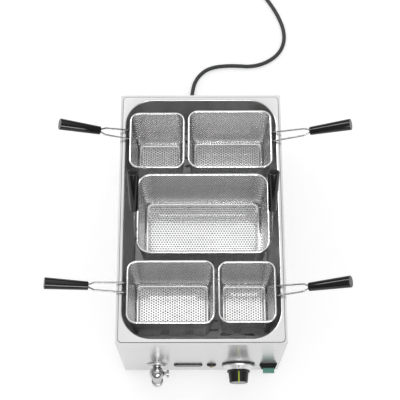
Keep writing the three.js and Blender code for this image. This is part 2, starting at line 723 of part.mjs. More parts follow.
function falseBottomGeometry() {
  const width = FALSE_BOTTOM_WIDTH;
  const length = TANK_LENGTH - 2 * FALSE_BOTTOM_INSET;
  const corner = TANK_CORNER - FALSE_BOTTOM_INSET;
  const inside = (x, y) => {
    const dx = Math.max(0, Math.abs(x) + SLOT_MARGIN - (width / 2 - corner));
    const dy = Math.max(0, Math.abs(y) + SLOT_MARGIN - (length / 2 - corner));
    return Math.hypot(dx, dy) < corner;
  };
  const rows = Math.floor(length / SLOT_ROW_PITCH / 2);
  const places = [];
  for (let column = -SLOT_COLUMNS_EACH_SIDE; column <= SLOT_COLUMNS_EACH_SIDE; column += 1) {
    const shift = (column % 2) * SLOT_ROW_PITCH / 2;
    for (let row = -rows; row <= rows; row += 1) {
      const x = column * SLOT_COLUMN_PITCH;
      const y = row * SLOT_ROW_PITCH + shift;
      if (inside(Math.abs(x) + SLOT_LENGTH / 2, Math.abs(y) + SLOT_WIDTH / 2)) {
        places.push([x, y]);
      }
    }
  }
  return cut(
    sheetPlate(width, length, corner, FALSE_BOTTOM_THICKNESS),
    slotTool(places, SLOT_LENGTH, SLOT_WIDTH),
  );
}

function railGeometry() {
  const tall = FALSE_BOTTOM_UNDER - TANK_FLOOR - SEAT_GAP;
  const web = FALSE_BOTTOM_THICKNESS;
  const section = new THREE.Shape([
    [0, 0], [RAIL_FLANGE, 0], [RAIL_FLANGE, web], [web, web],
    [web, tall - web], [RAIL_FLANGE, tall - web], [RAIL_FLANGE, tall], [0, tall],
  ].map(([x, z]) => new THREE.Vector2(x - web / 2, z)));
  const rail = new THREE.ExtrudeGeometry(section, { depth: RAIL_LENGTH, bevelEnabled: false });
  return welded(rail.rotateX(Math.PI / 2).translate(0, RAIL_LENGTH / 2, 0));
}

function elementGeometry() {
  const z = TANK_FLOOR + FALSE_BOTTOM_LIFT * ELEMENT_LIFT_SHARE;
  const foot = TANK_FLOOR - ELEMENT_TAIL_LENGTH;
  const turn = ELEMENT_PITCH / 2;
  const outer = ELEMENT_TAIL_X;
  const inner = ELEMENT_PITCH / 2;
  return tubeAlong(bentPath([
    [-outer, ELEMENT_TAIL_Y, foot], [-outer, ELEMENT_TAIL_Y, z, ELEMENT_TAIL_BEND],
    [-outer, ELEMENT_BACK, z, turn], [-inner, ELEMENT_BACK, z, turn],
    [-inner, ELEMENT_FRONT, z, turn], [inner, ELEMENT_FRONT, z, turn],
    [inner, ELEMENT_BACK, z, turn], [outer, ELEMENT_BACK, z, turn],
    [outer, ELEMENT_TAIL_Y, z, ELEMENT_TAIL_BEND], [outer, ELEMENT_TAIL_Y, foot],
  ]), ELEMENT_RADIUS, ELEMENT_SIDES);
}

function buildTankFittings(parent) {
  piece(groupAt(parent, 0, 0, FALSE_BOTTOM_UNDER), 'false_bottom', falseBottomGeometry(), TANK_STEEL);
  for (const [name, side] of [['left', -1], ['right', 1]]) {
    const place = groupAt(
      parent, side * RAIL_COLUMN_SHARE * SLOT_COLUMN_PITCH, 0, TANK_FLOOR + SEAT_GAP,
    );
    place.rotation.z = side > 0 ? Math.PI : 0;
    piece(place, `false_bottom_rail_${name}`, railGeometry(), TANK_STEEL);
  }
  piece(parent, 'heating_element', elementGeometry(), TANK_STEEL);
  const drain = bentPath([
    [TAP_X, DRAIN_Y, TANK_FLOOR - SHEET / 2], [TAP_X, DRAIN_Y, CONTROL_HEIGHT, PIPE_BEND],
    [TAP_X, FRONT_Y, CONTROL_HEIGHT],
  ]);
  piece(parent, 'drain_pipe', tubeAlong(drain, PIPE_RADIUS, PIPE_SIDES, PIPE_BORE_RADIUS), TANK_STEEL);
}

// Baskets, each built about the middle of its rim wire

function rimGeometry({ width, length, corner }) {
  const wire = RIM_WIRE / 2;
  const rings = [];
  for (let k = 0; k < RIM_SIDES; k += 1) {
    const angle = 2 * Math.PI * k / RIM_SIDES;
    const offset = wire * (Math.cos(angle) - 1);
    rings.push(levelRing(
      roundedRect(width + 2 * offset, length + 2 * offset, corner + offset), wire * Math.sin(angle),
    ));
  }
  return loft(rings, true);
}

function tubGeometry({ width, length, corner }) {
  const top = -RIM_WIRE / 2 - SEAT_GAP;
  const foot = -BASKET_DEPTH + TUB_FILLET + TUB_SHEET;
  const skin = (grow) => {
    const wall = (TUB_SHEET - RIM_WIRE) / 2 - TUB_SHEET + grow;
    const ring = (offset, z) => levelRing(
      roundedRect(width + 2 * offset, length + 2 * offset, corner + offset), z,
    );
    const fillet = TUB_FILLET + grow;
    const rings = [];
    for (let k = TUB_FILLET_STEPS; k >= 0; k -= 1) {
      const angle = Math.PI / 2 * k / TUB_FILLET_STEPS;
      rings.push(ring(wall - TUB_TAPER - fillet * (1 - Math.cos(angle)), foot - fillet * Math.sin(angle)));
    }
    rings.push(ring(wall, top));
    return rings;
  };
  return loft([...skin(0), ...skin(TUB_SHEET).reverse()]);
}

// The handle stands at the rim's outer edge, with x outward. Its two legs run up beside the rim,
// bend towards the grip, and pinch together into its mouth.
function handleGeometry(towards, across, wireLength) {
  const wire = HANDLE_WIRE / 2;
  const out = wire + SEAT_GAP;
  const slope = TUB_TAPER / (BASKET_DEPTH - TUB_FILLET);
  const wallFoot = (TUB_SHEET - RIM_WIRE) / 2 - HANDLE_DROP * slope + wire + SEAT_GAP;
  const base = new THREE.Vector3(out, 0, 0);
  const leg = (side) => {
    const along = (distance, spread) => base.clone().addScaledVector(towards, distance)
      .addScaledVector(across, side * spread / 2);
    const neck = along(wireLength - HANDLE_NECK, HANDLE_NECK_SPREAD);
    const mouth = along(wireLength, HANDLE_MOUTH_SPREAD);
    const end = along(wireLength + GRIP_SOCKET_DEPTH - wire - SEAT_GAP, HANDLE_MOUTH_SPREAD);
    const tight = HANDLE_MOUTH_SPREAD / 2;
    return [
      [wallFoot, side * HANDLE_SPREAD / 2, -HANDLE_DROP],
      [out, side * HANDLE_SPREAD / 2, -HANDLE_BEND, HANDLE_BEND],
      [out, side * HANDLE_SPREAD / 2, HANDLE_BEND / 2, HANDLE_BEND],
      [...neck.toArray(), tight],
      [...mouth.toArray(), tight],
      [...end.toArray(), tight],
    ];
  };
  return tubeAlong(bentPath([...leg(-1), ...leg(1).reverse()], Math.PI / 4), wire, HANDLE_SIDES);
}

function gripGeometry() {
  const socket = (HANDLE_MOUTH_SPREAD + HANDLE_WIRE) / 2 + GRIP_WALL_GAP;
  const grip = new THREE.LatheGeometry([
    [0, GRIP_SOCKET_DEPTH], [socket, GRIP_SOCKET_DEPTH], [socket, 0], [GRIP_MOUTH_RADIUS - GRIP_EDGE, 0],
    [GRIP_MOUTH_RADIUS, GRIP_EDGE], [GRIP_END_RADIUS, GRIP_LENGTH - GRIP_EDGE],
    [GRIP_END_RADIUS - GRIP_EDGE, GRIP_LENGTH], [0, GRIP_LENGTH],
  ].map(([r, along]) => new THREE.Vector2(r, along)), GRIP_SEGMENTS);
  return welded(grip);
}

function addHandle(basket, name, { side, rootX, rootY, towards, across, wireLength }) {
  const root = groupAt(basket, rootX, rootY, 0);
  root.rotation.z = side > 0 ? 0 : Math.PI;
  piece(root, `${name}_handle`, handleGeometry(towards, across, wireLength), BASKET_STEEL);
  const seat = new THREE.Vector3(HANDLE_WIRE / 2 + SEAT_GAP, 0, 0).addScaledVector(towards, wireLength);
  const grip = piece(groupAt(root, ...seat.toArray()), `${name}_grip`, gripGeometry(), BLACK_GLOSS);
  grip.quaternion.setFromUnitVectors(UP, towards);
}

function addBasket(parent, name, size, x, y) {
  const basket = groupAt(parent, x, y, RIM_HEIGHT);
  piece(basket, `${name}_tub`, tubGeometry(size), BASKET_STEEL);
  piece(basket, `${name}_rim`, rimGeometry(size), BASKET_STEEL);
  return basket;
}

// A side handle rises outward over the plate
function addSideBasket(parent, name, size, { side, end, endGap, rise, setback, wireLength }) {
  const x = side * (TANK_WIDTH / 2 - SIDE_GAP - size.width / 2);
  const y = end * (TANK_LENGTH / 2 - endGap - size.length / 2);
  const basket = addBasket(parent, name, size, x, y);
  addHandle(basket, name, {
    side,
    rootX: side * size.width / 2,
    rootY: setback,
    towards: new THREE.Vector3(Math.cos(rise), 0, Math.sin(rise)),
    across: new THREE.Vector3(0, 1, 0),
    wireLength,
  });
}

function buildBaskets(parent) {
  addSideBasket(parent, 'rear_left', SMALL_BASKET, {
    side: -1,
    end: 1,
    endGap: REAR_SMALL_END_GAP,
    rise: REAR_RISE,
    setback: REAR_SMALL_SETBACK,
    wireLength: REAR_SMALL_WIRE,
  });
  addSideBasket(parent, 'rear_right', MEDIUM_BASKET, {
    side: 1,
    end: 1,
    endGap: REAR_MEDIUM_END_GAP,
    rise: REAR_RISE,
    setback: REAR_MEDIUM_SETBACK,
    wireLength: REAR_MEDIUM_WIRE,
  });
  addSideBasket(parent, 'front_left', MEDIUM_BASKET, {
    side: -1,
    end: -1,
    endGap: FRONT_MEDIUM_END_GAP,
    rise: FRONT_MEDIUM_RISE,
    setback: FRONT_MEDIUM_SETBACK,
    wireLength: FRONT_MEDIUM_WIRE,
  });
  addSideBasket(parent, 'front_right', SMALL_BASKET, {
    side: 1,
    end: -1,
    endGap: FRONT_SMALL_END_GAP,
    rise: FRONT_SMALL_RISE,
    setback: FRONT_SMALL_SETBACK,
    wireLength: FRONT_SMALL_WIRE,
  });
  const largeX = (LARGE_LEFT_GAP - LARGE_RIGHT_GAP) / 2;
  const large = addBasket(parent, 'middle', LARGE_BASKET, largeX, (LARGE_BACK + LARGE_FRONT) / 2);
  for (const [name, side] of [['middle_left', -1], ['middle_right', 1]]) {
    addHandle(large, name, {
      side,
      rootX: side * LARGE_BASKET.width / 2,
      rootY: LARGE_SETBACK,
      towards: new THREE.Vector3(0, side * Math.sin(LARGE_LEAN), Math.cos(LARGE_LEAN)),
      across: new THREE.Vector3(0, Math.cos(LARGE_LEAN), -side * Math.sin(LARGE_LEAN)),
      wireLength: LARGE_WIRE,
    });
  }
}

// Front controls, each built about its middle on the panel's face

function knobGeometry() {
  const back = KNOB_RING_HEIGHT + BEZEL_HEIGHT + KNOB_CLEARANCE;
  const bore = SHAFT_RADIUS + SHAFT_GAP;
  const end = back + KNOB_HEIGHT;
  return turned([
    [0, back + SHAFT_DEPTH_IN_KNOB], [bore, back + SHAFT_DEPTH_IN_KNOB], [bore, back],
    [KNOB_FLANGE_RADIUS, back], [KNOB_FLANGE_RADIUS, back + KNOB_FLANGE_HEIGHT],
    [KNOB_BODY_RADIUS, back + KNOB_FLANGE_HEIGHT + KNOB_EDGE], [KNOB_END_RADIUS, end - KNOB_EDGE],
    [KNOB_END_RADIUS - KNOB_EDGE, end], [0, end],
  ], FINE_SEGMENTS);
}

// The pointer runs along the top of the knob and over its edge to the middle of its face
function pointerGeometry() {
  const back = KNOB_RING_HEIGHT + BEZEL_HEIGHT + KNOB_CLEARANCE;
  const start = back + KNOB_FLANGE_HEIGHT + KNOB_EDGE + SEAT_GAP;
  const end = back + KNOB_HEIGHT + SEAT_GAP;
  const low = KNOB_BODY_RADIUS + SEAT_GAP;
  const tip = KNOB_END_RADIUS + SEAT_GAP;
  const outline = new THREE.Shape([
    [start, low], [end - KNOB_EDGE, tip], [end, tip - KNOB_EDGE], [end, tip / 2],
    [end + POINTER_HEIGHT, tip / 2], [end + POINTER_HEIGHT, tip], [end, tip + POINTER_HEIGHT],
    [start, low + POINTER_HEIGHT],
  ].map(([out, z]) => new THREE.Vector2(out, z)));
  const pointer = new THREE.ExtrudeGeometry(outline, { depth: POINTER_WIDTH, bevelEnabled: false });
  return welded(pointer.rotateX(Math.PI / 2).rotateZ(-Math.PI / 2).translate(POINTER_WIDTH / 2, 0, 0));
}

function buildKnob(parent) {
  const seat = groupAt(parent, KNOB_X, FRONT_Y, CONTROL_HEIGHT);
  const bezelTop = KNOB_RING_HEIGHT + BEZEL_HEIGHT;
  const shaftEnd = bezelTop + KNOB_CLEARANCE + SHAFT_DEPTH_IN_KNOB - SHAFT_GAP;
  const body = new THREE.BoxGeometry(THERMOSTAT_WIDTH, THERMOSTAT_DEPTH, THERMOSTAT_HEIGHT);
  body.translate(0, SHEET + SEAT_GAP + THERMOSTAT_DEPTH / 2, 0);
  const bushRadius = SHAFT_HOLE_RADIUS - SEAT_GAP;
  const bush = new THREE.CylinderGeometry(bushRadius, bushRadius, 2 * OVERRUN);
  piece(seat, 'thermostat', join(body, bush.translate(0, OVERRUN, 0)), BLACK_MATTE);
  piece(seat, 'knob_shaft', turned([
    [0, SEAT_GAP], [SHAFT_RADIUS, SEAT_GAP], [SHAFT_RADIUS, shaftEnd], [0, shaftEnd],
  ]), TANK_STEEL);
  piece(seat, 'knob_ring', turnedRing([
    [BEZEL_BORE_RADIUS, 0], [KNOB_RING_RADIUS, 0], [KNOB_RING_RADIUS, KNOB_RING_HEIGHT - KNOB_EDGE],
    [KNOB_RING_RADIUS - KNOB_EDGE, KNOB_RING_HEIGHT], [BEZEL_BORE_RADIUS, KNOB_RING_HEIGHT],
  ], FINE_SEGMENTS), BLACK_GLOSS);
  piece(seat, 'knob_bezel', turnedRing([
    [BEZEL_BORE_RADIUS, KNOB_RING_HEIGHT], [BEZEL_BASE_RADIUS, KNOB_RING_HEIGHT],
    [BEZEL_TOP_RADIUS, bezelTop], [BEZEL_BORE_RADIUS, bezelTop],
  ], FINE_SEGMENTS), CHROME);
  piece(seat, 'knob', knobGeometry(), BLACK_MATTE);
  piece(seat, 'knob_pointer', pointerGeometry(), POINTER_YELLOW);
}

function buildLamp(parent) {
  const seat = groupAt(parent, LAMP_X, FRONT_Y, CONTROL_HEIGHT);
  const stemEnd = -SHEET - LAMP_STEM_LENGTH;
  piece(seat, 'lamp_bezel', turnedRing([
    [LAMP_BORE_RADIUS, stemEnd], [LAMP_STEM_RADIUS, stemEnd], [LAMP_STEM_RADIUS, 0], [LAMP_RADIUS, 0],
    [LAMP_RADIUS, LAMP_HEIGHT / 2], [(LAMP_RADIUS + LAMP_BORE_RADIUS) / 2, LAMP_HEIGHT],
    [LAMP_BORE_RADIUS, LAMP_HEIGHT],
  ]), BLACK_MATTE);
  const lens = LAMP_BORE_RADIUS - SEAT_GAP;
  const dome = LENS_HEIGHT - LAMP_HEIGHT;
  piece(seat, 'lamp_lens', turned([
    [0, stemEnd], [lens, stemEnd], [lens, LAMP_HEIGHT],
    [lens * Math.cos(Math.PI / 4), LAMP_HEIGHT + dome * Math.sin(Math.PI / 4)],
    [0, LENS_HEIGHT],
  ]), LENS_AMBER);
}

function buildBadge(parent) {
  const seat = groupAt(parent, BADGE_X, FRONT_Y, CONTROL_HEIGHT);
  const pill = (inset, out) => uprightRing(
    roundedRect(BADGE_LENGTH - 2 * inset, BADGE_WIDTH - 2 * inset, BADGE_WIDTH / 2 - inset), out,
  );
  const edge = BADGE_THICKNESS - BADGE_EDGE;
  const plate = loft([pill(0, 0), pill(0, edge), pill(BADGE_EDGE, BADGE_THICKNESS)]);
  piece(seat, 'badge_plate', plate, BLACK_GLOSS);
}

function rockerGeometry() {
  const half = ROCKER_TALL / 2;
  const neck = SWITCH_HEIGHT;
  const outline = new THREE.Shape([
    [-ROCKER_TAIL, -half / 2], [-ROCKER_TAIL, half / 2], [0, half], [neck, half],
    [ROCKER_HEIGHT - ROCKER_EDGE, half - ROCKER_EDGE / 2], [ROCKER_HEIGHT, half - ROCKER_EDGE],
    [(ROCKER_HEIGHT + ROCKER_LOW_HEIGHT) / 2 - ROCKER_EDGE, 0],
    [ROCKER_LOW_HEIGHT, ROCKER_EDGE - half], [ROCKER_LOW_HEIGHT - ROCKER_EDGE, -half], [0, -half],
  ].map(([out, z]) => new THREE.Vector2(out, z)));
  const rocker = new THREE.ExtrudeGeometry(outline, { depth: ROCKER_WIDTH, bevelEnabled: false });
  return welded(rocker.rotateX(Math.PI / 2).rotateZ(-Math.PI / 2).translate(ROCKER_WIDTH / 2, 0, 0));
}

function buildSwitch(parent) {
  const seat = groupAt(parent, SWITCH_X, FRONT_Y, CONTROL_HEIGHT);
  const ring = (width, tall, corner, out) => uprightRing(roundedRect(width, tall, corner, 2), out);
  const openWidth = ROCKER_WIDTH + 2 * ROCKER_SIDE_GAP;
  const openTall = ROCKER_TALL + 2 * ROCKER_SWING_GAP;
  const corner = SWITCH_BODY_CORNER;
  piece(seat, 'switch_frame', loft([
    ring(SWITCH_BODY_WIDTH, SWITCH_BODY_TALL, corner, -SWITCH_BODY_DEPTH),
    ring(SWITCH_BODY_WIDTH, SWITCH_BODY_TALL, corner, 0),
    ring(SWITCH_WIDTH, SWITCH_TALL, SWITCH_CORNER, 0),
    ring(SWITCH_WIDTH, SWITCH_TALL, SWITCH_CORNER, ROCKER_EDGE),
    ring(SWITCH_FRONT_WIDTH, SWITCH_FRONT_TALL, SWITCH_CORNER, SWITCH_HEIGHT),
    ring(openWidth, openTall, corner / 2, SWITCH_HEIGHT),
    ring(openWidth, openTall, corner / 2, -SWITCH_BODY_DEPTH),
  ], true), BLACK_MATTE);
  piece(seat, 'switch_rocker', rockerGeometry(), ROCKER_GREEN);
}

// Drain tap

function tapBodyGeometry() {
  const ball = turned([
    [0, SEAT_GAP], [TAP_NECK_RADIUS, SEAT_GAP], [TAP_NECK_RADIUS, TAP_REACH * TAP_NECK_SHARE],
    ...TAP_BODY_SHARES.map(([wide, far]) => [TAP_BALL_RADIUS * wide, TAP_REACH * far]),
    [0, TAP_REACH],
  ]);
  const spout = new THREE.LatheGeometry([
    [SPOUT_BORE_RADIUS, TAP_NECK_RADIUS], [SPOUT_RADIUS, TAP_NECK_RADIUS], [SPOUT_RADIUS, SPOUT_LENGTH / 2],
    [SPOUT_MOUTH_RADIUS, SPOUT_LENGTH - SPOUT_BORE_RADIUS], [SPOUT_MOUTH_RADIUS, SPOUT_LENGTH],
    [SPOUT_BORE_RADIUS, SPOUT_LENGTH], [SPOUT_BORE_RADIUS, TAP_NECK_RADIUS],
  ].map(([r, along]) => new THREE.Vector2(r, along)), ROUND_SEGMENTS);
  spout.rotateX(-Math.PI / 2 - SPOUT_LEAN).translate(0, -TAP_STEM_OUT, 0);
  return join(ball, spout);
}

function leverGeometry() {
  const outline = new THREE.Shape();
  outline.absarc(0, 0, LEVER_BOSS_RADIUS, 0, Math.PI, false);
  outline.absarc(0, -LEVER_LENGTH, LEVER_TIP_RADIUS, Math.PI, 2 * Math.PI, false);
  outline.closePath();
  const blade = new THREE.ExtrudeGeometry(outline, {
    depth: LEVER_THICKNESS, bevelEnabled: false, curveSegments: ROUND_SEGMENTS / 2,
  });
  blade.rotateX(Math.PI / 2).rotateZ(Math.PI / 2);
  blade.translate(LEVER_STEM_LENGTH - SEAT_GAP, 0, 0);
  const stem = new THREE.CylinderGeometry(
    LEVER_STEM_RADIUS, LEVER_STEM_RADIUS, LEVER_STEM_LENGTH + LEVER_THICKNESS / 2, ROUND_SEGMENTS,
  );
  stem.rotateZ(Math.PI / 2).translate((LEVER_STEM_LENGTH + LEVER_THICKNESS / 2) / 2, 0, 0);
  return join(blade, stem);
}

function buildTap(parent) {
  const seat = groupAt(parent, TAP_X, FRONT_Y, CONTROL_HEIGHT);
  const bore = TAP_NECK_RADIUS + SEAT_GAP;
  piece(seat, 'tap_flange', turnedRing([
    [bore, 0], [TAP_FLANGE_RADIUS, 0], [TAP_FLANGE_RADIUS, TAP_FLANGE_HEIGHT * FLANGE_EDGE_SHARE],
    [TAP_FLANGE_RADIUS * FLANGE_FACE_SHARE, TAP_FLANGE_HEIGHT], [bore, TAP_FLANGE_HEIGHT],
  ]), CHROME);
  piece(seat, 'tap_body', tapBodyGeometry(), CHROME);
  const pivot = groupAt(seat, TAP_BALL_RADIUS + SEAT_GAP, -TAP_STEM_OUT, 0);
  piece(pivot, 'tap_lever', leverGeometry(), CHROME);
}

// Mains entry, cord, coil and plug

function terminalGeometry() {
  const points = [[-TERMINAL_WIDTH / 2, 0]];
  const way = TERMINAL_WIDTH / TERMINAL_WAYS;
  for (let k = 0; k < TERMINAL_WAYS; k += 1) {
    const left = k * way - TERMINAL_WIDTH / 2;
    points.push([left, TERMINAL_HEIGHT], [left + way / 2, TERMINAL_HEIGHT]);
    points.push([left + way / 2, TERMINAL_HEIGHT - TERMINAL_TOOTH]);
    if (k < TERMINAL_WAYS - 1) {
      points.push([left + way, TERMINAL_HEIGHT - TERMINAL_TOOTH]);
    }
  }
  points.push([TERMINAL_WIDTH / 2, TERMINAL_HEIGHT - TERMINAL_TOOTH], [TERMINAL_WIDTH / 2, 0]);
  const outline = new THREE.Shape(points.map(([x, z]) => new THREE.Vector2(x, z)));
  const block = new THREE.ExtrudeGeometry(outline, { depth: TERMINAL_DEPTH, bevelEnabled: false });
  return welded(block.rotateX(Math.PI / 2).translate(0, TERMINAL_DEPTH / 2, 0));
}

// Where the coil's cord is after an angle swept from its start, in radians
function coilPoint(swept) {
  const pitch = CORD_DIAMETER + COIL_TURN_GAP;
  const middle = COIL_TURNS * Math.PI;
  const rounding = COIL_REVERSE_ROUNDING_SHARE * 2 * Math.PI;
  const fromMiddle = Math.hypot(swept - middle, rounding) / (2 * Math.PI);
  const inner = COIL_MEAN_RADIUS - pitch * COIL_TURNS / 4;
  const radius = inner + pitch * fromMiddle;
  const climb = THREE.MathUtils.clamp((swept - middle) / Math.PI + 0.5, 0, 1);
  const restHeight = TIE_THICKNESS + TIE_GAP + CORD_RADIUS;
  const lastQuarter = THREE.MathUtils.clamp((swept - 2 * middle) / (Math.PI / 2) + 1, 0, 1);
  const upper = restHeight + pitch;
  const z = restHeight + pitch * climb + (PLUG_RADIUS + SEAT_GAP - upper) * lastQuarter;
  const angle = COIL_START - swept;
  return new THREE.Vector3(COIL_X + radius * Math.cos(angle), COIL_Y + radius * Math.sin(angle), z);
}

function coilPath() {
  const steps = Math.round(COIL_TURNS * COIL_STEPS_A_TURN);
  const turns = [];
  for (let k = 0; k <= steps; k += 1) {
    turns.push(coilPoint(2 * Math.PI * COIL_TURNS * k / steps));
  }
  const startWay = new THREE.Vector3(Math.sin(COIL_START), -Math.cos(COIL_START), 0);
  const endAngle = COIL_START - 2 * Math.PI * COIL_TURNS;
  const endWay = new THREE.Vector3(Math.sin(endAngle), -Math.cos(endAngle), 0);
  const start = turns[0].clone().addScaledVector(startWay, -CORD_DIAMETER);
  const end = turns[steps].clone().addScaledVector(endWay, CORD_DIAMETER);
  return { points: [start, ...turns, end], startWay, endWay };
}

function leastGap(points, apart) {
  let least = Infinity;
  points.forEach((a, i) => {
    for (let j = i + apart; j < points.length; j += 1) {
      least = Math.min(least, a.distanceTo(points[j]));
    }
  });
  return least - CORD_DIAMETER;
}

function tieGeometry() {
  const pitch = CORD_DIAMETER + COIL_TURN_GAP;
  const open = pitch + CORD_DIAMETER + 2 * TIE_GAP;
  const ring = new THREE.Shape(roundedRect(
    open + 2 * TIE_THICKNESS, open + 2 * TIE_THICKNESS, TIE_CORNER + TIE_THICKNESS,
  ));
  ring.holes.push(new THREE.Path(roundedRect(open, open, TIE_CORNER)));
  const tie = new THREE.ExtrudeGeometry(ring, { depth: TIE_WIDTH, bevelEnabled: false });
  return welded(tie.rotateX(Math.PI / 2).translate(0, TIE_WIDTH / 2, 0));
}

function plugGeometry() {
  const shoulder = PLUG_NECK_LENGTH + PLUG_SHOULDER_LENGTH;
  const body = welded(new THREE.LatheGeometry([
    [0, 0], [PLUG_NECK_RADIUS, 0], [PLUG_NECK_RADIUS, PLUG_NECK_LENGTH], [PLUG_RADIUS - PLUG_EDGE, shoulder],
    [PLUG_RADIUS, shoulder + PLUG_EDGE], [PLUG_RADIUS, PLUG_LENGTH - PLUG_EDGE],
    [PLUG_RADIUS - PLUG_EDGE, PLUG_LENGTH], [0, PLUG_LENGTH],
  ].map(([r, along]) => new THREE.Vector2(r, along)), ROUND_SEGMENTS));
  const pins = [-1, 1].map((side) => {
    const pin = new THREE.CylinderGeometry(PIN_RADIUS, PIN_RADIUS, PIN_LENGTH + OVERRUN, ROUND_SEGMENTS / 2);
    return pin.translate(side * PIN_SPACING / 2, PLUG_LENGTH + (PIN_LENGTH - OVERRUN) / 2, 0);
  });
  return join(body, ...pins);
}

function buildMains(parent) {
  const terminal = groupAt(parent, GLAND_X, BACK_Y - TERMINAL_SETBACK, HOUSING_BASE);
  piece(terminal, 'terminal_block', terminalGeometry(), NYLON);
  const entry = groupAt(parent, GLAND_X, BACK_Y + SHEET, GLAND_HEIGHT);
  const backward = (profile) => turned(profile.map(([r, out]) => [r, -out]));
  piece(entry, 'cable_gland', backward([
    [0, -GLAND_STEM_LENGTH], [GLAND_STEM_RADIUS, -GLAND_STEM_LENGTH], [GLAND_STEM_RADIUS, 0],
    [GLAND_RADIUS, 0], [GLAND_RADIUS, GLAND_NUT_LENGTH], [GLAND_NOSE_RADIUS, GLAND_LENGTH], [0, GLAND_LENGTH],
  ]), BLACK_MATTE);
  const reliefStart = GLAND_LENGTH + SEAT_GAP;
  const reliefEnd = reliefStart + RELIEF_LENGTH;
  piece(entry, 'strain_relief', backward([
    [0, reliefStart], [RELIEF_ROOT_RADIUS, reliefStart], [RELIEF_ROOT_RADIUS, reliefStart + RELIEF_COLLAR],
    [CORD_RADIUS + SHEET, reliefEnd], [0, reliefEnd],
  ]), RUBBER);
  const { points, startWay, endWay } = coilPath();
  const exitY = BACK_Y + SHEET + reliefEnd + SEAT_GAP;
  const route = [
    new THREE.Vector3(GLAND_X, exitY, GLAND_HEIGHT),
    ...CORD_ROUTE.map((place) => new THREE.Vector3(...place)),
    points[0].clone().addScaledVector(startWay, -CORD_DIAMETER - SEAT_GAP),
    points[0].clone().addScaledVector(startWay, -SEAT_GAP),
  ];
  const curve = new THREE.CatmullRomCurve3(route);
  const cord = tubeAlong(curve.getSpacedPoints(CORD_STEPS), CORD_RADIUS, CORD_SIDES);
  piece(parent, 'mains_cord', cord, CORD_RUBBER);
  piece(parent, 'cord_coil', tubeAlong(points, CORD_RADIUS, COIL_SIDES), CORD_RUBBER);
  console.log(`cord coil: least gap to itself ${leastGap(points, COIL_STEPS_A_TURN / 2).toFixed(2)} mm`);
  const tieAngle = COIL_START - Math.PI / 2;
  const pitch = CORD_DIAMETER + COIL_TURN_GAP;
  const tieMiddle = coilPoint(COIL_TURNS * Math.PI - 2 * Math.PI);
  const tieRadius = Math.hypot(tieMiddle.x - COIL_X, tieMiddle.y - COIL_Y);
  const tie = groupAt(
    parent, COIL_X + tieRadius * Math.cos(tieAngle), COIL_Y + tieRadius * Math.sin(tieAngle),
    tieMiddle.z + pitch / 2,
  );
  tie.rotation.z = tieAngle;
  piece(tie, 'coil_tie', tieGeometry(), RUBBER);
  const last = points[points.length - 1];
  const plug = piece(groupAt(parent, ...last.clone().addScaledVector(endWay, SEAT_GAP).toArray()),
    'mains_plug', plugGeometry(), RUBBER);
  plug.quaternion.setFromUnitVectors(UP, endWay);
}

// Assembly

const CORD_PIECES = ['cable_gland', 'strain_relief', 'mains_cord', 'cord_coil', 'coil_tie', 'mains_plug'];

const cooker = new THREE.Group();
buildHousing(cooker);
buildTankFittings(cooker);
buildBaskets(cooker);
buildKnob(cooker);
buildLamp(cooker);
buildBadge(cooker);
buildSwitch(cooker);
buildTap(cooker);
buildMains(cooker);

cooker.updateMatrixWorld(true);
const box = new THREE.Box3();
cooker.traverse((object) => {
  if (object.isMesh && !CORD_PIECES.includes(object.name)) {
    box.expandByObject(object, true);
  }
});
const middle = box.getCenter(new THREE.Vector3());
cooker.position.set(-middle.x, -middle.y, 0);

export default cooker;
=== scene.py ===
# Countertop pasta cooker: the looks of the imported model. Blender works in metres, +Z up, with the
# front towards -Y. Sizes below are in millimetres, and places count from the housing's middle.
import math

import bmesh
import bpy
import numpy as np
from mathutils import Matrix, Vector
from mathutils.geometry import delaunay_2d_cdt


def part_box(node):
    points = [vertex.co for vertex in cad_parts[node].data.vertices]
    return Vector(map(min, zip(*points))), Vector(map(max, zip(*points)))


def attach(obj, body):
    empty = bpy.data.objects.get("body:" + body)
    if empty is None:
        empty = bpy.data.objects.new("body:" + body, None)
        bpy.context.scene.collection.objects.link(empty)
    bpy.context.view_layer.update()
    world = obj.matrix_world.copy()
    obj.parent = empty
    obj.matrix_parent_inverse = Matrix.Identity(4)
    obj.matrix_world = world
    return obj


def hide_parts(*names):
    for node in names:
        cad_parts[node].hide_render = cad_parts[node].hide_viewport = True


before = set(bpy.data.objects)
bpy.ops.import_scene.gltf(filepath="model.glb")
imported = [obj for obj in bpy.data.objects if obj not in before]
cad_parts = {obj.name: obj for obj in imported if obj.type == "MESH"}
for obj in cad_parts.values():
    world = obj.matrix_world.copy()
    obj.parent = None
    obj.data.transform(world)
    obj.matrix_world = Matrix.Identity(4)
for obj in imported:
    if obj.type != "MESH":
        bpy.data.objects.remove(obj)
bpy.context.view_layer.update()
MM = 0.001
WRAP_LOW, WRAP_HIGH = (Vector(corner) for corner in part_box("housing_wrap"))
MIDDLE = Vector(((WRAP_LOW.x + WRAP_HIGH.x) / 2, (WRAP_LOW.y + WRAP_HIGH.y) / 2, 0))

# Sheet metal and clearances
SHEET = 1.2
SEAT_GAP = 0.3
HOUSING_WIDTH = 340
HOUSING_LENGTH = 540
PLATE_HEIGHT = 300
PLATE_INSET = 5
PLATE_CORNER = 8
SIDE_BORDER = 12
END_BORDER = 13

# Shading is smooth over edges that bend up to so many degrees
SMOOTH_UP_TO = 32
SHEET_SMOOTH_UP_TO = 40

# Tank
TANK_CORNER = 57
TANK_FLOOR = 105
TANK_DRAFT = math.radians(5)
TANK_LIP = 3
TANK_FLOOR_FILLET = 18

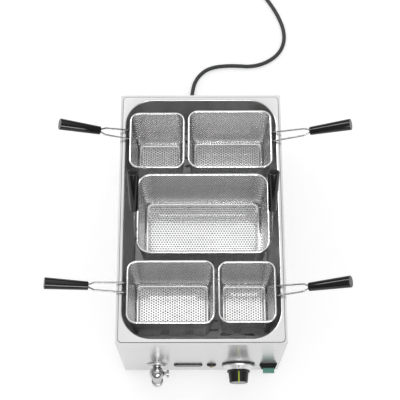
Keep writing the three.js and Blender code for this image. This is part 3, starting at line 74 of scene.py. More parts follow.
# Baskets
RIM_HEIGHT = 301
RIM_WIRE = 5
TUB_SHEET = 1
TUB_TAPER = 7
TUB_FILLET = 5
TUB_UNDER = 146
TUB_TOP = 300
CORNERS = {"rear_left": 20, "rear_right": 21, "front_left": 21, "front_right": 20, "middle": 28}
HOLE_RADIUS = 2
HOLE_SIDES = 6
HOLE_PITCH = 5.8
ROW_PITCH = HOLE_PITCH * math.sqrt(3) / 2
FIRST_ROW = HOLE_RADIUS + 1.5
TOP_MARGIN = 6
FLOOR_MARGIN = 3.2
WALL_STEP = 3
SEAM_STEPS = 40
FOOT_LINE = 0.9
FLOOR_STEP = 4
LEDGE_START = 4
LEDGE_WIDTH = 21
SMALL_LEDGE_WIDTH = 12
LEDGE_SLOPE = 6
LEDGE_HEIGHT = 0.35

# Handles. A side handle has its side, its wire's length, its rise over the plate and its Y from
# the basket's middle.
HANDLE_WIRE = 3.5
HANDLE_SPREAD = 20
HANDLE_NECK_SPREAD = 15
HANDLE_MOUTH_SPREAD = 4.2
HANDLE_NECK = 12
HANDLE_BEND = 6
HANDLE_DROP = 28
GRIP_LENGTH = 87
GRIP_MOUTH_RADIUS = 8.7
GRIP_END_RADIUS = 11.9
GRIP_SOCKET_DEPTH = 26
GRIP_WALL_GAP = 0.6
GRIP_END_WALL = 2.4
GRIP_RECESS = 0.8
SIDE_HANDLES = {
    "rear_left": (-1, 62.8, math.radians(23), 12),
    "rear_right": (1, 81.3, math.radians(23), 4),
    "front_left": (-1, 74.5, math.radians(14), 8),
    "front_right": (1, 68.1, math.radians(28), 1),
}
MIDDLE_WIRE = 58
MIDDLE_LEAN = math.radians(39)
MIDDLE_SETBACK = -45

# Front controls, on the panel's face
CONTROL_HEIGHT = 88
FRONT_Y = -HOUSING_LENGTH / 2
KNOB_RING_RADIUS = 36
KNOB_RING_HEIGHT = 3
BEZEL_BASE_RADIUS = 33
BEZEL_TOP_RADIUS = 24.5
BEZEL_HEIGHT = 11
BEZEL_BORE_RADIUS = 9
KNOB_FLANGE_RADIUS = 25
KNOB_BODY_RADIUS = 22
KNOB_END_RADIUS = 19.5
KNOB_HEIGHT = 25
KNOB_CLEARANCE = 0.6
KNOB_BORE_RADIUS = 3.4
KNOB_BORE_DEPTH = 14
POINTER_WIDTH = 2.4
POINTER_HEIGHT = 0.9
LAMP_RADIUS = 10.3
LAMP_HEIGHT = 4
LENS_RADIUS = 5.1
LENS_HEIGHT = 7
BADGE_LENGTH = 62
BADGE_WIDTH = 18
BADGE_THICKNESS = 3.4
SWITCH_WIDTH = 37
SWITCH_TALL = 27
SWITCH_FRONT_WIDTH = 29
SWITCH_FRONT_TALL = 20
SWITCH_HEIGHT = 9
SWITCH_BODY_WIDTH = 30
SWITCH_BODY_TALL = 22
SWITCH_BODY_DEPTH = 14
ROCKER_WIDTH = 24.6
ROCKER_TALL = 13.2
ROCKER_HEIGHT = 21
ROCKER_LOW_HEIGHT = 13
ROCKER_TAIL = 5
TAP_FLANGE_RADIUS = 23
TAP_FLANGE_HEIGHT = 4.5
TAP_NECK_RADIUS = 9
TAP_BALL_RADIUS = 16.2
TAP_REACH = 35.5
TAP_STEM_OUT = 19
SPOUT_RADIUS = 9.5
SPOUT_MOUTH_RADIUS = 12.5
SPOUT_BORE_RADIUS = 8.5
SPOUT_LENGTH = 40
SPOUT_LEAN = math.radians(18)
LEVER_BOSS_RADIUS = 7
LEVER_TIP_RADIUS = 5
LEVER_LENGTH = 30
LEVER_THICKNESS = 5
LEVER_STEM_LENGTH = 5
LEVER_STEM_RADIUS = 4

# Mains entry and cord
BACK_Y = HOUSING_LENGTH / 2
GLAND_X = -20
GLAND_HEIGHT = 60
GLAND_RADIUS = 12
GLAND_NUT = 6
GLAND_LENGTH = 13
RELIEF_RADIUS = 8
RELIEF_LENGTH = 36
RELIEF_RIBS = 8
RELIEF_RIB_PITCH = 3.8
CORD_DIAMETER = 9.5
CORD_EXIT = (GLAND_X, BACK_Y + SHEET + GLAND_LENGTH + RELIEF_LENGTH + 2 * SEAT_GAP, GLAND_HEIGHT)
CORD_ROUTE = [
    (-20, 339, 59), (-20.2, 356, 53.5), (-20.5, 373, 42), (-20.8, 388, 27.5), (-20.7, 402, 14.5),
    (-19.3, 419, 6.8), (-14.5, 441, 5), (-4.5, 459.5, 4.8), (12.5, 476, 4.8), (35, 485.5, 4.8),
    (69, 489.5, 4.8), (98, 489, 4.8), (120, 488, 4.8), (145, 492, 4.8), (169, 502.5, 4.8),
    (189.5, 518.5, 4.8), (203.5, 539.5, 4.8), (209.8, 564, 4.8), (208.3, 591, 4.8),
    (200.2, 619, 4.8), (185.8, 650, 5), (166.5, 681.5, 5.6),
]
COIL_X = 190
COIL_Y = 762
COIL_START = math.radians(212)
COIL_TURNS = 3.5
TURN_STEPS = 40
COIL_MEAN_RADIUS = 53
COIL_PITCH = 10.2
COIL_REST_HEIGHT = 6.55
COIL_ROUNDING = 0.12
TIE_THICKNESS = 1.3
TIE_WIDTH = 8
TIE_CORNER = 4
PLUG_RADIUS = 19
PLUG_NECK_RADIUS = 7
PLUG_LENGTH = 46
PLUG_RIBS = 3
PIN_RADIUS = 2.4
PIN_LENGTH = 19
PIN_SPACING = 19

# Camera
CAMERA_PLACE = (-3.8, -675.8, 2296)
CAMERA_TILT = math.radians(19.52)
CAMERA_ROLL = math.radians(-0.134)
CAMERA_LENS = 92.36

# Light, with distances in metres: what the floor gives off by itself, and what the white room gives
# to surfaces and mirrors. A lamp has its place, its aim, its sides, its power in watts, and whether
# only shiny surfaces show it.
# The floor's glow rises from FLOOR_LIFT near the cooker to FAR_FLOOR_LIFT far off, which paints shade round
# the cooker.
FLOOR_LIFT = 0.46
FAR_FLOOR_LIFT = 0.8
FLOOR_NEAR = 0.45
FLOOR_FAR = 2.2
WORLD_LIGHT = 0.71
HORIZON_LIGHT = 0.12
HORIZON_TOP = 0.4
SKY_LIGHT = 0.38
BOX_LIGHT = 1.2
BOX_WAY = (0, 0.34, 0.94)
BOX_EDGE = 0.68
BOX_CORE = 0.9
FLOOR_REACH = 40
LAMPS = {
    "overhead": ((0.2, 1.9, 2.3), (0, 0, 0.2), (1.2, 1.2), 3, False),
    "rear_box": ((-1.7, 1.28, 2.3), (0.28, 0.05, 0.36), (1.8, 0.62), 38, True),
    "front_box": ((0.21, -1.12, 1.02), (-0.27, 0, 0.35), (0.9, 0.45), 12, True),
}


def set_camera():
    """The photograph's view: from high in front, looking down over the plate."""
    data = bpy.data.cameras.new("camera")
    data.lens = CAMERA_LENS
    data.sensor_width = 36
    camera = bpy.data.objects.new("camera", data)
    camera.location = MIDDLE + Vector(CAMERA_PLACE) * MM
    camera.rotation_euler = (CAMERA_TILT, 0, CAMERA_ROLL)
    bpy.context.scene.collection.objects.link(camera)
    bpy.context.scene.camera = camera


# Shader nodes
class Socket:
    """A node's output. Python's operators on it add the matching Math nodes."""

    def __init__(self, nodes, source):
        self.nodes = nodes
        self.source = source

    def math(self, operation, first, second):
        return self.nodes.node("ShaderNodeMath", {"operation": operation}, {0: first, 1: second})

    def __add__(self, other):
        return self.math("ADD", self, other)

    def __sub__(self, other):
        return self.math("SUBTRACT", self, other)

    def __rsub__(self, other):
        return self.math("SUBTRACT", other, self)

    def __mul__(self, other):
        return self.math("MULTIPLY", self, other)

    __radd__ = __add__
    __rmul__ = __mul__


class Nodes:
    """A tree of shader nodes. node() adds any node and gives back one of its outputs as a Socket."""

    def __init__(self, tree):
        self.tree = tree
        tree.nodes.clear()

    def node(self, kind, settings=None, values=None, output=0):
        made = self.tree.nodes.new(kind)
        for key, value in (settings or {}).items():
            setattr(made, key, value)
        for key, value in (values or {}).items():
            if isinstance(value, Socket):
                self.tree.links.new(value.source, made.inputs[key])
            else:
                made.inputs[key].default_value = value
        return Socket(self, made.outputs[output]) if made.outputs else None

    def ray(self, kind):
        """1 for rays of one kind, such as Camera or Glossy, and 0 for the others."""
        return self.node("ShaderNodeLightPath", output=f"Is {kind} Ray")

    def between(self, share, low, high, softness="SMOOTHSTEP"):
        """Rises from 0 to 1 as a value goes from low to high."""
        return self.node("ShaderNodeMapRange", {"interpolation_type": softness},
                         {0: share, 1: low, 2: high, 3: 0.0, 4: 1.0})


class Finish(Nodes):
    """One material. Its patterns lie still in the part's own space."""

    def __init__(self, name):
        self.material = bpy.data.materials.new(name)
        self.material.use_nodes = True
        super().__init__(self.material.node_tree)

    def place(self):
        return self.node("ShaderNodeTexCoord", output="Object")

    def along(self, axis):
        """The distance along one axis of the part, in metres."""
        return self.node("ShaderNodeSeparateXYZ", None, {0: self.place()}, axis)

    def noise(self, grain, detail=2.0, roughness=0.5):
        """Cloudy values about 0.5. Grain is how many cells there are to a metre along X, Y and Z."""
        spread = self.node("ShaderNodeVectorMath", {"operation": "MULTIPLY"}, {0: self.place(), 1: grain})
        return self.node("ShaderNodeTexNoise", None,
                         {"Vector": spread, "Scale": 1.0, "Detail": detail, "Roughness": roughness})

    def mix(self, share, first, second):
        return self.node("ShaderNodeMix", {"data_type": "RGBA"}, {0: share, 6: first, 7: second}, 2)

    def bump(self, height, depth):
        return self.node("ShaderNodeBump", None, {"Height": height, "Distance": depth, "Strength": 1.0})

    def surface(self, **sockets):
        names = {key.replace("_", " "): value for key, value in sockets.items()}
        shader = self.node("ShaderNodeBsdfPrincipled", None, names)
        self.node("ShaderNodeOutputMaterial", None, {"Surface": shader})
        return self.material


def grey(level):
    """A grey by its brightness in linear light."""
    return (level, level, level, 1.0)


# Finishes
def brushed_steel(name, grain, light, dark, rough, metal=1.0):
    """Sheet steel with long brush marks. They lie along the axis that has the few cells."""
    finish = Finish(name)
    marks = finish.noise(grain, 3.0, 0.6)
    clouds = finish.noise((7, 7, 7), 2.0)
    shade = finish.between(marks * 0.7 + clouds * 0.3, 0.3, 0.7, "LINEAR")
    return finish.surface(
        Base_Color=finish.mix(shade, dark, light),
        Metallic=metal,
        Roughness=rough + marks * 0.12 + clouds * 0.08,
        Normal=finish.bump(marks, 0.00003),
    )


def tank_finish():
    """Brushed plate round the opening, and drawn, duller steel down in the well. The plate's colour is
    painted darker towards its rear: painted shade.
    """
    finish = Finish("tank_steel")
    lip = (PLATE_HEIGHT - TANK_LIP - 1) * MM
    plate = finish.between(finish.along("Z"), lip, (PLATE_HEIGHT - 0.5) * MM)
    brush = finish.noise((3, 900, 60), 3.0, 0.6)
    drawn = finish.noise((30, 30, 6), 3.0)
    clouds = finish.noise((6, 6, 6), 2.0)
    # Painted shade: the plate's colour grows darker from front to rear.
    painted_light_rearward = finish.between(finish.along("Y"), -0.26, 0.29, "LINEAR")
    plate_tone_painted_shade = finish.mix(painted_light_rearward, grey(0.66), grey(0.6))
    plate_color = finish.mix(brush * 0.35 + clouds * 0.2, plate_tone_painted_shade, grey(0.52))
    well_color = finish.mix(finish.between(drawn, 0.3, 0.7, "LINEAR"), grey(0.6), grey(0.78))
    return finish.surface(
        Base_Color=finish.mix(plate, well_color, plate_color),
        Metallic=1.0,
        Roughness=0.34 - plate * 0.1 + clouds * 0.08,
        Normal=finish.bump(brush * plate + drawn * (1 - plate), 0.00004),
    )


def perforated_finish():
    """Punched sheet: bright floors, and walls with painted shade, darker towards their foot and the front,
    and painted light that makes them lighter towards the rear.
    """
    finish = Finish("basket_steel")
    clouds = finish.noise((12, 12, 9), 3.0)
    grain = finish.noise((260, 260, 260), 2.0)
    shade = finish.between(clouds, 0.35, 0.65)
    up = finish.along("Z")
    wall = finish.between(up, (TUB_UNDER + 2.8) * MM, (TUB_UNDER + 7) * MM)
    # Painted shade and light on the walls: darker towards the foot and the front, lighter towards the rear.
    high = finish.between(up, (TUB_UNDER + 10) * MM, TUB_TOP * MM, "LINEAR")
    painted_light_rearward = finish.between(finish.along("Y"), -0.16, 0.12, "LINEAR")
    painted_light_wall_color = finish.mix(high, grey(0.6), grey(0.78))
    painted_light_wall_color = finish.mix(shade * 0.3, painted_light_wall_color, grey(0.56))
    painted_light_wall_color = finish.mix(painted_light_rearward * 0.8, painted_light_wall_color, grey(1.0))
    floor_color = finish.mix(shade, grey(0.9), grey(1.0))
    return finish.surface(
        Base_Color=finish.mix(wall, floor_color, painted_light_wall_color),
        Metallic=1.0,
        Roughness=0.1 + wall * 0.1 + clouds * 0.1,
        Normal=finish.bump(grain, 0.00003),
    )


def wire_finish(name, dark, light):
    """Polished rod of the rims and handles."""
    finish = Finish(name)
    clouds = finish.noise((40, 40, 40), 2.0)
    return finish.surface(
        Base_Color=finish.mix(clouds, dark, light),
        Metallic=1.0,
        Roughness=0.16 + clouds * 0.12,
        Normal=finish.bump(finish.noise((600, 600, 600), 1.0), 0.00001),
    )


def bright_finish(name, dark, light):
    """Plated metal of the tap, the screws and the plug's pins."""
    finish = Finish(name)
    clouds = finish.noise((70, 70, 70), 2.0)
    return finish.surface(
        Base_Color=finish.mix(clouds, dark, light),
        Metallic=1.0,
        Roughness=0.04 + clouds * 0.06,
        Normal=finish.bump(clouds, 0.00003),
    )


def moulded(name, color, rough, coat=0.0, shine=0.5):
    """Moulded plastic or rubber: a fine grain, and slightly uneven gloss."""
    finish = Finish(name)
    grain = finish.noise((1400, 1400, 1400), 2.0)
    clouds = finish.noise((45, 45, 45), 2.0)
    lighter = tuple(min(1.0, part * 1.5 + 0.004) for part in color[:3]) + (1.0,)
    return finish.surface(
        Base_Color=finish.mix(clouds * 0.6, color, lighter),
        Roughness=rough + clouds * 0.12,
        Specular_IOR_Level=shine,
        Coat_Weight=coat,
        Coat_Roughness=0.08,
        Normal=finish.bump(grain, 0.00002),
    )


def rocker_finish():
    """Clear green plastic over the switch's lamp, with faint upright ribs."""
    finish = Finish("rocker_green")
    ribs = finish.node("ShaderNodeMath", {"operation": "SINE"}, {0: finish.along("X") * 3400})
    clouds = finish.noise((120, 120, 120), 2.0)
    crests = finish.between(ribs, -1.0, 1.0, "LINEAR")
    return finish.surface(
        Base_Color=finish.mix(crests, (0.05, 0.25, 0.18, 1), (0.11, 0.38, 0.29, 1)),
        Roughness=0.14 + clouds * 0.1,
        Coat_Weight=0.6,
        Coat_Roughness=0.05,
        Normal=finish.bump(ribs, 0.00004),
    )


def lens_finish():
    """Olive amber lens of the pilot lamp, a little uneven."""
    finish = Finish("lens_amber")
    clouds = finish.noise((300, 300, 300), 2.0)
    return finish.surface(
        Base_Color=finish.mix(clouds, (0.16, 0.13, 0.03, 1), (0.3, 0.25, 0.07, 1)),
        Roughness=0.1 + clouds * 0.1,
        Coat_Weight=0.8,
        Coat_Roughness=0.04,
    )


def floor_finish():
    """Pale floor. The camera and mirrors see it as white, and it keeps the cooker's shadow. Near the cooker
    it gives off less than far off: painted shade round the cooker.
    """
    finish = Finish("studio_floor")
    rays = finish.ray("Camera") + finish.ray("Glossy") + finish.ray("Transmission")
    seen = finish.node("ShaderNodeMath", {"operation": "MINIMUM"}, {0: rays, 1: 1.0})
    away = finish.node("ShaderNodeVectorMath", {"operation": "DISTANCE"}, {0: finish.place(), 1: MIDDLE}, 1)
    # Painted shade: the floor's glow is weaker near the cooker.
    far = finish.between(away, FLOOR_NEAR, FLOOR_FAR)
    lift = seen * (FLOOR_LIFT + far * (FAR_FLOOR_LIFT - FLOOR_LIFT))
    glow = finish.node("ShaderNodeEmission", None, {"Color": (1, 1, 1, 1), "Strength": lift})
    paper = finish.node("ShaderNodeBsdfDiffuse", None, {"Color": grey(0.82)})
    both = finish.node("ShaderNodeAddShader", None, {0: paper, 1: glow})
    finish.node("ShaderNodeOutputMaterial", None, {"Surface": both})
    return finish.material


# Shapes: each gives its points in millimetres and its faces
def round_points(radius, steps, start=0.0, turn=2 * math.pi):
    """Points on an arc about the origin. A whole turn doesn't repeat its first point."""
    angles = [start + turn * step / steps for step in range(steps if turn == 2 * math.pi else steps + 1)]
    return [(radius * math.cos(angle), radius * math.sin(angle)) for angle in angles]


def rounded_rect(width, length, radius, steps=12):
    """Points round a rectangle with round corners, anticlockwise."""
    points = []
    for quarter, (side, end) in enumerate(((1, 1), (-1, 1), (-1, -1), (1, -1))):
        for x, y in round_points(radius, steps, math.pi / 2 * quarter, math.pi / 2):
            points.append((side * (width / 2 - radius) + x, end * (length / 2 - radius) + y))
    return points


def hexagon(radius, steps=6):
    """A hexagon by its corners' radius, with some points to each side."""
    corners = [Vector(point) for point in round_points(radius, 6)]
    return [tuple(a.lerp(b, step / steps)) for a, b in zip(corners, corners[1:] + corners[:1])
            for step in range(steps)]


def level_ring(outline, height):
    return [Vector((x, y, height)) for x, y in outline]


def loft(rings, closed=False):
    """Quads between rings of as many points each. A closed loft joins the last ring to the first."""
    size = len(rings[0])
    points = [point for ring in rings for point in ring]
    faces = []
    for k in range(len(rings) if closed else len(rings) - 1):
        low = k * size
        high = (k + 1) % len(rings) * size
        for j in range(size):
            after = (j + 1) % size
            faces.append((low + j, low + after, high + after, high + j))
    if not closed:
        faces.append(tuple(range(size))[::-1])
        faces.append(tuple(range(len(points) - size, len(points))))
    return points, faces


def slab(outline, low, high):
    """An outline of Y and Z, as thick as from one X to another."""
    return loft([[Vector((x, *point)) for point in outline] for x in (low, high)])


def softened(profile, radius, steps=3):
    """A profile whose corners are rounded off, as pressed and moulded edges are."""
    profile = [Vector(point) for point in profile]
    points = [profile[0]]
    for before, corner, after in zip(profile, profile[1:], profile[2:]):
        reach = min(radius, (before - corner).length / 2, (after - corner).length / 2)
        start = corner + (before - corner).normalized() * reach
        end = corner + (after - corner).normalized() * reach
        for step in range(steps + 1):
            share = step / steps
            points.append(start.lerp(corner, share).lerp(corner.lerp(end, share), share))
    return [*points, profile[-1]]


def lathe(profile, edge=0.0, steps=64, ring=False, edge_steps=3):
    """A profile of (radius, height) points with softened corners, turned about +Z. A ring's profile
    closes on itself."""
    points = []
    rows = []
    for radius, height in softened(profile, edge, edge_steps) if edge else profile:
        if radius < 1e-6:
            rows.append([len(points)] * steps)
            points.append(Vector((0, 0, height)))
        else:
            rows.append(list(range(len(points), len(points) + steps)))
            points += level_ring(round_points(radius, steps), height)
    if ring:
        rows.append(rows[0])
    faces = []
    for low, high in zip(rows, rows[1:]):
        for step in range(steps):
            after = (step + 1) % steps
            face = tuple(dict.fromkeys((low[step], low[after], high[after], high[step])))
            if len(face) > 2:
                faces.append(face)
    return points, faces


def bent_path(corners, step=math.radians(12)):
    """A path with round bends. A corner is x, y, z and its bend's radius, which is 0 at the ends."""
    path = [Vector(corners[0][:3])]
    for before, (*place, radius), after in zip(corners, corners[1:], corners[2:]):
        corner = Vector(place)
        into = (corner - Vector(before[:3])).normalized()
        onward = (Vector(after[:3]) - corner).normalized()
        turn = into.angle(onward)
        if turn < 1e-4:
            continue
        start = corner - into * radius * math.tan(turn / 2)
        inward = (onward - into * onward.dot(into)).normalized()
        steps = max(1, math.ceil(turn / step))
        for k in range(steps + 1):
            angle = turn * k / steps
            path.append(start + into * radius * math.sin(angle) + inward * radius * (1 - math.cos(angle)))
    return [*path, Vector(corners[-1][:3])]


def tube(path, radius, sides=14):
    """A round bar along a path, with flat ends. Its section turns as little as the path lets it."""
    ends = [path[0], *path, path[-1]]
    tangents = [(after - before).normalized() for before, after in zip(ends, ends[2:])]
    across = tangents[0].orthogonal().normalized()
    rings = []
    for k, (point, tangent) in enumerate(zip(path, tangents)):
        if k:
            across = tangents[k - 1].rotation_difference(tangent) @ across
        across = (across - tangent * across.dot(tangent)).normalized()
        other = tangent.cross(across)
        rings.append([point + across * x + other * y for x, y in round_points(radius, sides)])
    return loft(rings)


def smooth_curve(places, steps):
    """A centripetal curve through places, with some steps from each to the next."""
    ends = [places[0] * 2 - places[1], *places, places[-1] * 2 - places[-2]]
    path = []
    for k in range(1, len(ends) - 2):
        near = ends[k - 1:k + 3]
        knots = [0]
        for before, after in zip(near, near[1:]):
            knots.append(knots[-1] + math.sqrt((after - before).length))
        for step in range(steps):
            t = knots[1] + (knots[2] - knots[1]) * step / steps
            level = near
            for spans in (((0, 1), (1, 2), (2, 3)), ((0, 2), (1, 3)), ((1, 2),)):
                level = [a.lerp(b, (t - knots[low]) / (knots[high] - knots[low]))
                         for a, b, (low, high) in zip(level, level[1:], spans)]
            path.append(level[0])
    return [*path, places[-1]]


def moved(shape, matrix):
    points, faces = shape
    return [matrix @ point for point in points], faces


# Places on the cooker
def seat(origin, along, across):
    """A matrix that turns a shape's +Z to along and its +X to across, and sets it at origin."""
    along = Vector(along).normalized()
    across = Vector(across)
    across = (across - along * across.dot(along)).normalized()
    turn = Matrix((across, along.cross(across), along)).transposed().to_4x4()
    return Matrix.Translation(Vector(origin)) @ turn


def measured(node):
    """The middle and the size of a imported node, in millimetres from the housing's middle."""
    low, high = (Vector(corner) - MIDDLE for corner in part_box(node))
    return (low + high) / 2 / MM, (high - low) / MM


def front_seat(node):
    """Stands a shape on the front panel at a node's X and the controls' height, with its +Z outward."""
    return seat((measured(node)[0].x, FRONT_Y, CONTROL_HEIGHT), (0, -1, 0), (1, 0, 0))


def rear_seat(x, z):
    """Stands a shape on the rear cover, with its +Z outward."""
    return seat((x, BACK_Y + SHEET, z), (0, 1, 0), (-1, 0, 0))


# Pieces
def new_mesh(name, points, faces, numbers, finishes):
    """A mesh in metres, with the number of each face's finish."""
    mesh = bpy.data.meshes.new(name)
    mesh.from_pydata(points, [], faces)
    mesh.polygons.foreach_set("material_index", numbers)
    for finish in finishes:
        mesh.materials.append(finish)
    return mesh


def with_bmesh(mesh, change):
    work = bmesh.new()
    work.from_mesh(mesh)
    change(work)
    work.to_mesh(mesh)
    work.free()


def soften_edges(made, width, angle, segments, harden):
    edges = made.modifiers.new("round_edges", "BEVEL")
    edges.width = width * MM
    edges.segments = segments
    edges.limit_method = "ANGLE"
    edges.angle_limit = math.radians(angle)
    edges.harden_normals = harden


def dress(name, mesh, body, nodes, sharp, round_edges=0.0):
    """Links a mesh, smooths its shading up to sharp degrees, and ties it to its body."""
    made = bpy.data.objects.new(name, mesh)
    bpy.context.scene.collection.objects.link(made)
    mesh.polygons.foreach_set("use_smooth", [True] * len(mesh.polygons))
    mesh.set_sharp_from_angle(angle=math.radians(sharp))
    if round_edges:
        soften_edges(made, round_edges, sharp, 3, True)
    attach(made, body)
    if nodes:
        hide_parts(*nodes)
    return made


def build(name, parts, nodes, place=Matrix(), body="housing", round_edges=0.0):
    """One object from shapes and their finishes. It stands at a place and moves with a body."""
    points = []
    faces = []
    numbers = []
    finishes = list(dict.fromkeys(finish for finish, _ in parts))
    for finish, (shape_points, shape_faces) in parts:
        start = len(points)
        points.extend(MIDDLE + place @ point * MM for point in shape_points)
        faces.extend(tuple(start + index for index in face) for face in shape_faces)
        numbers.extend([finishes.index(finish)] * len(shape_faces))
    mesh = new_mesh(name, points, faces, numbers, finishes)
    with_bmesh(mesh, lambda work: bmesh.ops.recalc_face_normals(work, faces=work.faces))
    return dress(name, mesh, body, nodes, SMOOTH_UP_TO, round_edges)


def finish_node(name, material, round_edges=0.0):
    """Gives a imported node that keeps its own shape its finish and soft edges."""
    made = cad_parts[name]
    for entry in made.material_slots:
        entry.material = material
    if round_edges:
        soften_edges(made, round_edges, SHEET_SMOOTH_UP_TO, 2, False)


# Mains cord
def coil_point(turned):
    """Where the coil's centreline is after it has turned by an angle from its start."""
    middle = COIL_TURNS * math.pi
    from_middle = math.hypot(turned - middle, COIL_ROUNDING * 2 * math.pi) / (2 * math.pi)
    radius = COIL_MEAN_RADIUS - COIL_PITCH * COIL_TURNS / 4 + COIL_PITCH * from_middle
    climb = min(1, max(0, (turned - middle) / math.pi + 0.5))
    last_quarter = min(1, max(0, (turned - 2 * middle) / (math.pi / 2) + 1))
    upper = COIL_REST_HEIGHT + COIL_PITCH
    height = COIL_REST_HEIGHT + COIL_PITCH * climb + (PLUG_RADIUS + SEAT_GAP - upper) * last_quarter
    angle = COIL_START - turned
    return Vector((COIL_X + radius * math.cos(angle), COIL_Y + radius * math.sin(angle), height))


def cord_path():
    """The cord's centreline over the listed route and round the coil, and its heading at the end."""
    def heading(angle):
        return Vector((math.sin(angle), -math.cos(angle), 0))

    whole_turn = 2 * math.pi * COIL_TURNS
    steps = round(COIL_TURNS * TURN_STEPS)
    turns = [coil_point(whole_turn * step / steps) for step in range(steps + 1)]
    end_way = heading(COIL_START - whole_turn)
    route = [Vector(place) for place in (CORD_EXIT, *CORD_ROUTE)]
    route.append(turns[0] - heading(COIL_START) * CORD_DIAMETER)
    return smooth_curve(route, 6) + turns + [turns[-1] + end_way * CORD_DIAMETER], end_way


def build_gland(rubber):
    """The cable gland's hexagonal nut and round nose."""
    nut = loft([level_ring(hexagon(GLAND_RADIUS - inset), out)
                for inset, out in ((0.8, 0), (0, 0.7), (0, GLAND_NUT - 0.6), (0.8, GLAND_NUT))])
    nose = lathe([(0, GLAND_NUT - 0.2), (10.6, GLAND_NUT - 0.2), (10.2, 9.5), (9.5, GLAND_LENGTH),
                  (0, GLAND_LENGTH)], 1.2)
    return build("cable_entry", [(rubber, nut), (rubber, nose)], ("cable_gland",),
                 rear_seat(GLAND_X, GLAND_HEIGHT))


def build_sleeve(rubber):
    """The strain relief: a ribbed sleeve that narrows towards the cord."""
    start = GLAND_LENGTH + SEAT_GAP
    end = start + RELIEF_LENGTH
    profile = [(0, start), (RELIEF_RADIUS, start), (RELIEF_RADIUS, start + 3)]
    for rib in range(RELIEF_RIBS):
        here = start + 5 + rib * RELIEF_RIB_PITCH
        wide = RELIEF_RADIUS - 0.6 - rib * 0.2
        groove = wide - 1.1
        profile += [(groove, here - 1), (wide, here - 0.4), (wide, here + 1.2), (groove, here + 1.8)]
    profile += [(5.6, end), (0, end)]
    return build("strain_sleeve", [(rubber, lathe(profile, 0.4, 40, edge_steps=2))], ("strain_relief",),
                 rear_seat(GLAND_X, GLAND_HEIGHT))


def build_tie(rubber):
    """The strap round both layers of the coil."""
    angle = COIL_START - math.pi / 2
    middle = coil_point((COIL_TURNS - 2) * math.pi)
    outward = Vector((math.cos(angle), math.sin(angle), 0))
    place = Vector((COIL_X, COIL_Y, middle.z + COIL_PITCH / 2))
    place += outward * math.hypot(middle.x - COIL_X, middle.y - COIL_Y)
    opening = COIL_PITCH + CORD_DIAMETER + 1
    rings = []
    for grow, half in ((0, 1), (0, -1), (TIE_THICKNESS, -1), (TIE_THICKNESS, 1)):
        outline = rounded_rect(opening + 2 * grow, opening + 2 * grow, TIE_CORNER + grow)
        rings.append(level_ring(outline, half * TIE_WIDTH / 2))
    return build("lead_tie", [(rubber, loft(rings, True))], ("coil_tie",),
                 seat(place, (-outward.y, outward.x, 0), outward), round_edges=0.3)


def build_plug(end, way, rubber, steel):
    """A plain round plug with a ribbed neck and two pins."""
    neck = PLUG_NECK_RADIUS
    profile = [(0, 0), (neck, 0)]
    for rib in range(PLUG_RIBS):
        start = 2 + rib * 4
        profile += [(neck, start), (neck - 1.2, start + 1), (neck - 1.2, start + 2.2), (neck, start + 3.2)]
    profile += [(neck + 1, 15), (PLUG_RADIUS - 2, 26), (PLUG_RADIUS, 29), (PLUG_RADIUS, PLUG_LENGTH),
                (0, PLUG_LENGTH)]
    low = PLUG_LENGTH - 2
    high = PLUG_LENGTH + PIN_LENGTH
    pin = lathe([(0, low), (PIN_RADIUS, low), (PIN_RADIUS, high), (0, high)], 1.4, 24)
    parts = [(rubber, lathe(profile, 0.9))]
    for side in (-1, 1):
        parts.append((steel, moved(pin, Matrix.Translation((0, side * PIN_SPACING / 2, 0)))))
    place = seat(end + way * SEAT_GAP, way, (0, 0, 1))
    return build("lead_plug", parts, ("mains_plug",), place)


def build_cord(finish, rubber, steel):
    """The mains cord, with the gland and sleeve that it leaves by, the coil's tie and the plug."""
    path, end_way = cord_path()
    cord = build("mains_lead", [(finish, tube(path, CORD_DIAMETER / 2, 20))], ("mains_cord", "cord_coil"))
    others = [build_gland(rubber), build_sleeve(rubber), build_tie(rubber),
              build_plug(path[-1], end_way, rubber, steel)]
    [tuple(MIDDLE + p * MM) for p in path]


# Perforated baskets
class Basket:
    """A basket's rim and sheet, measured from its packed rim."""

    def __init__(self, name):
        middle, size = measured(f"{name}_rim")
        self.name = name
        self.body = f"basket_{name}"
        self.x, self.y, _ = middle
        self.width, self.length, _ = size
        self.corner = CORNERS[name]
        self.ledge = SMALL_LEDGE_WIDTH if self.width < self.length else LEDGE_WIDTH

    def outline(self, offset):
        points = rounded_rect(self.width + 2 * offset, self.length + 2 * offset, self.corner + offset)
        return [(self.x + x, self.y + y) for x, y in points]

    def wall_line(self):
        """The wall's way round from a front corner. For the start of each bend and each straight, it
        gives how far round that is, where the wall faces, and X and Y of the corner's middle."""
        bend = (self.corner - (RIM_WIRE + TUB_SHEET + TUB_TAPER) / 2) * math.pi / 2
        half_x = self.width / 2 - self.corner
        half_y = self.length / 2 - self.corner
        corners = ((half_x, -half_y), (half_x, half_y), (-half_x, half_y), (-half_x, -half_y))
        line = []
        along = 0.0
        for quarter, (x, y) in enumerate(corners):
            facing = math.pi * (3 + quarter) / 2
            line += [(along, facing, x, y), (along + bend, facing + math.pi / 2, x, y)]
            along += bend + 2 * (half_x if quarter % 2 else half_y)
        line.append((along, math.pi * 7 / 2, *corners[0]))
        return np.array(line).T


def hole_rows(long, wide):
    """Centres of staggered rows of holes over a rectangle, spread evenly from its middle."""
    rows = int(wide / ROW_PITCH / 2)
    columns = int(long / HOLE_PITCH / 2)
    centres = []
    for row in range(-rows, rows + 1):
        shift = (row % 2) * HOLE_PITCH / 2
        centres += [(column * HOLE_PITCH + shift, row * ROW_PITCH)
                    for column in range(-columns - 1, columns + 1)]
    return centres


def wall_holes(around, low, high):
    """Centres of staggered rows that run round a wall and meet evenly at its seam."""
    columns = round(around / HOLE_PITCH)
    step = around / columns
    centres = []
    for row in range(int((high - low) / ROW_PITCH) + 1):
        first = 0.5 if row % 2 else 1
        count = round(columns + 1 - 2 * first)
        centres += [((first + k) * step, low + row * ROW_PITCH) for k in range(count)]
    return centres


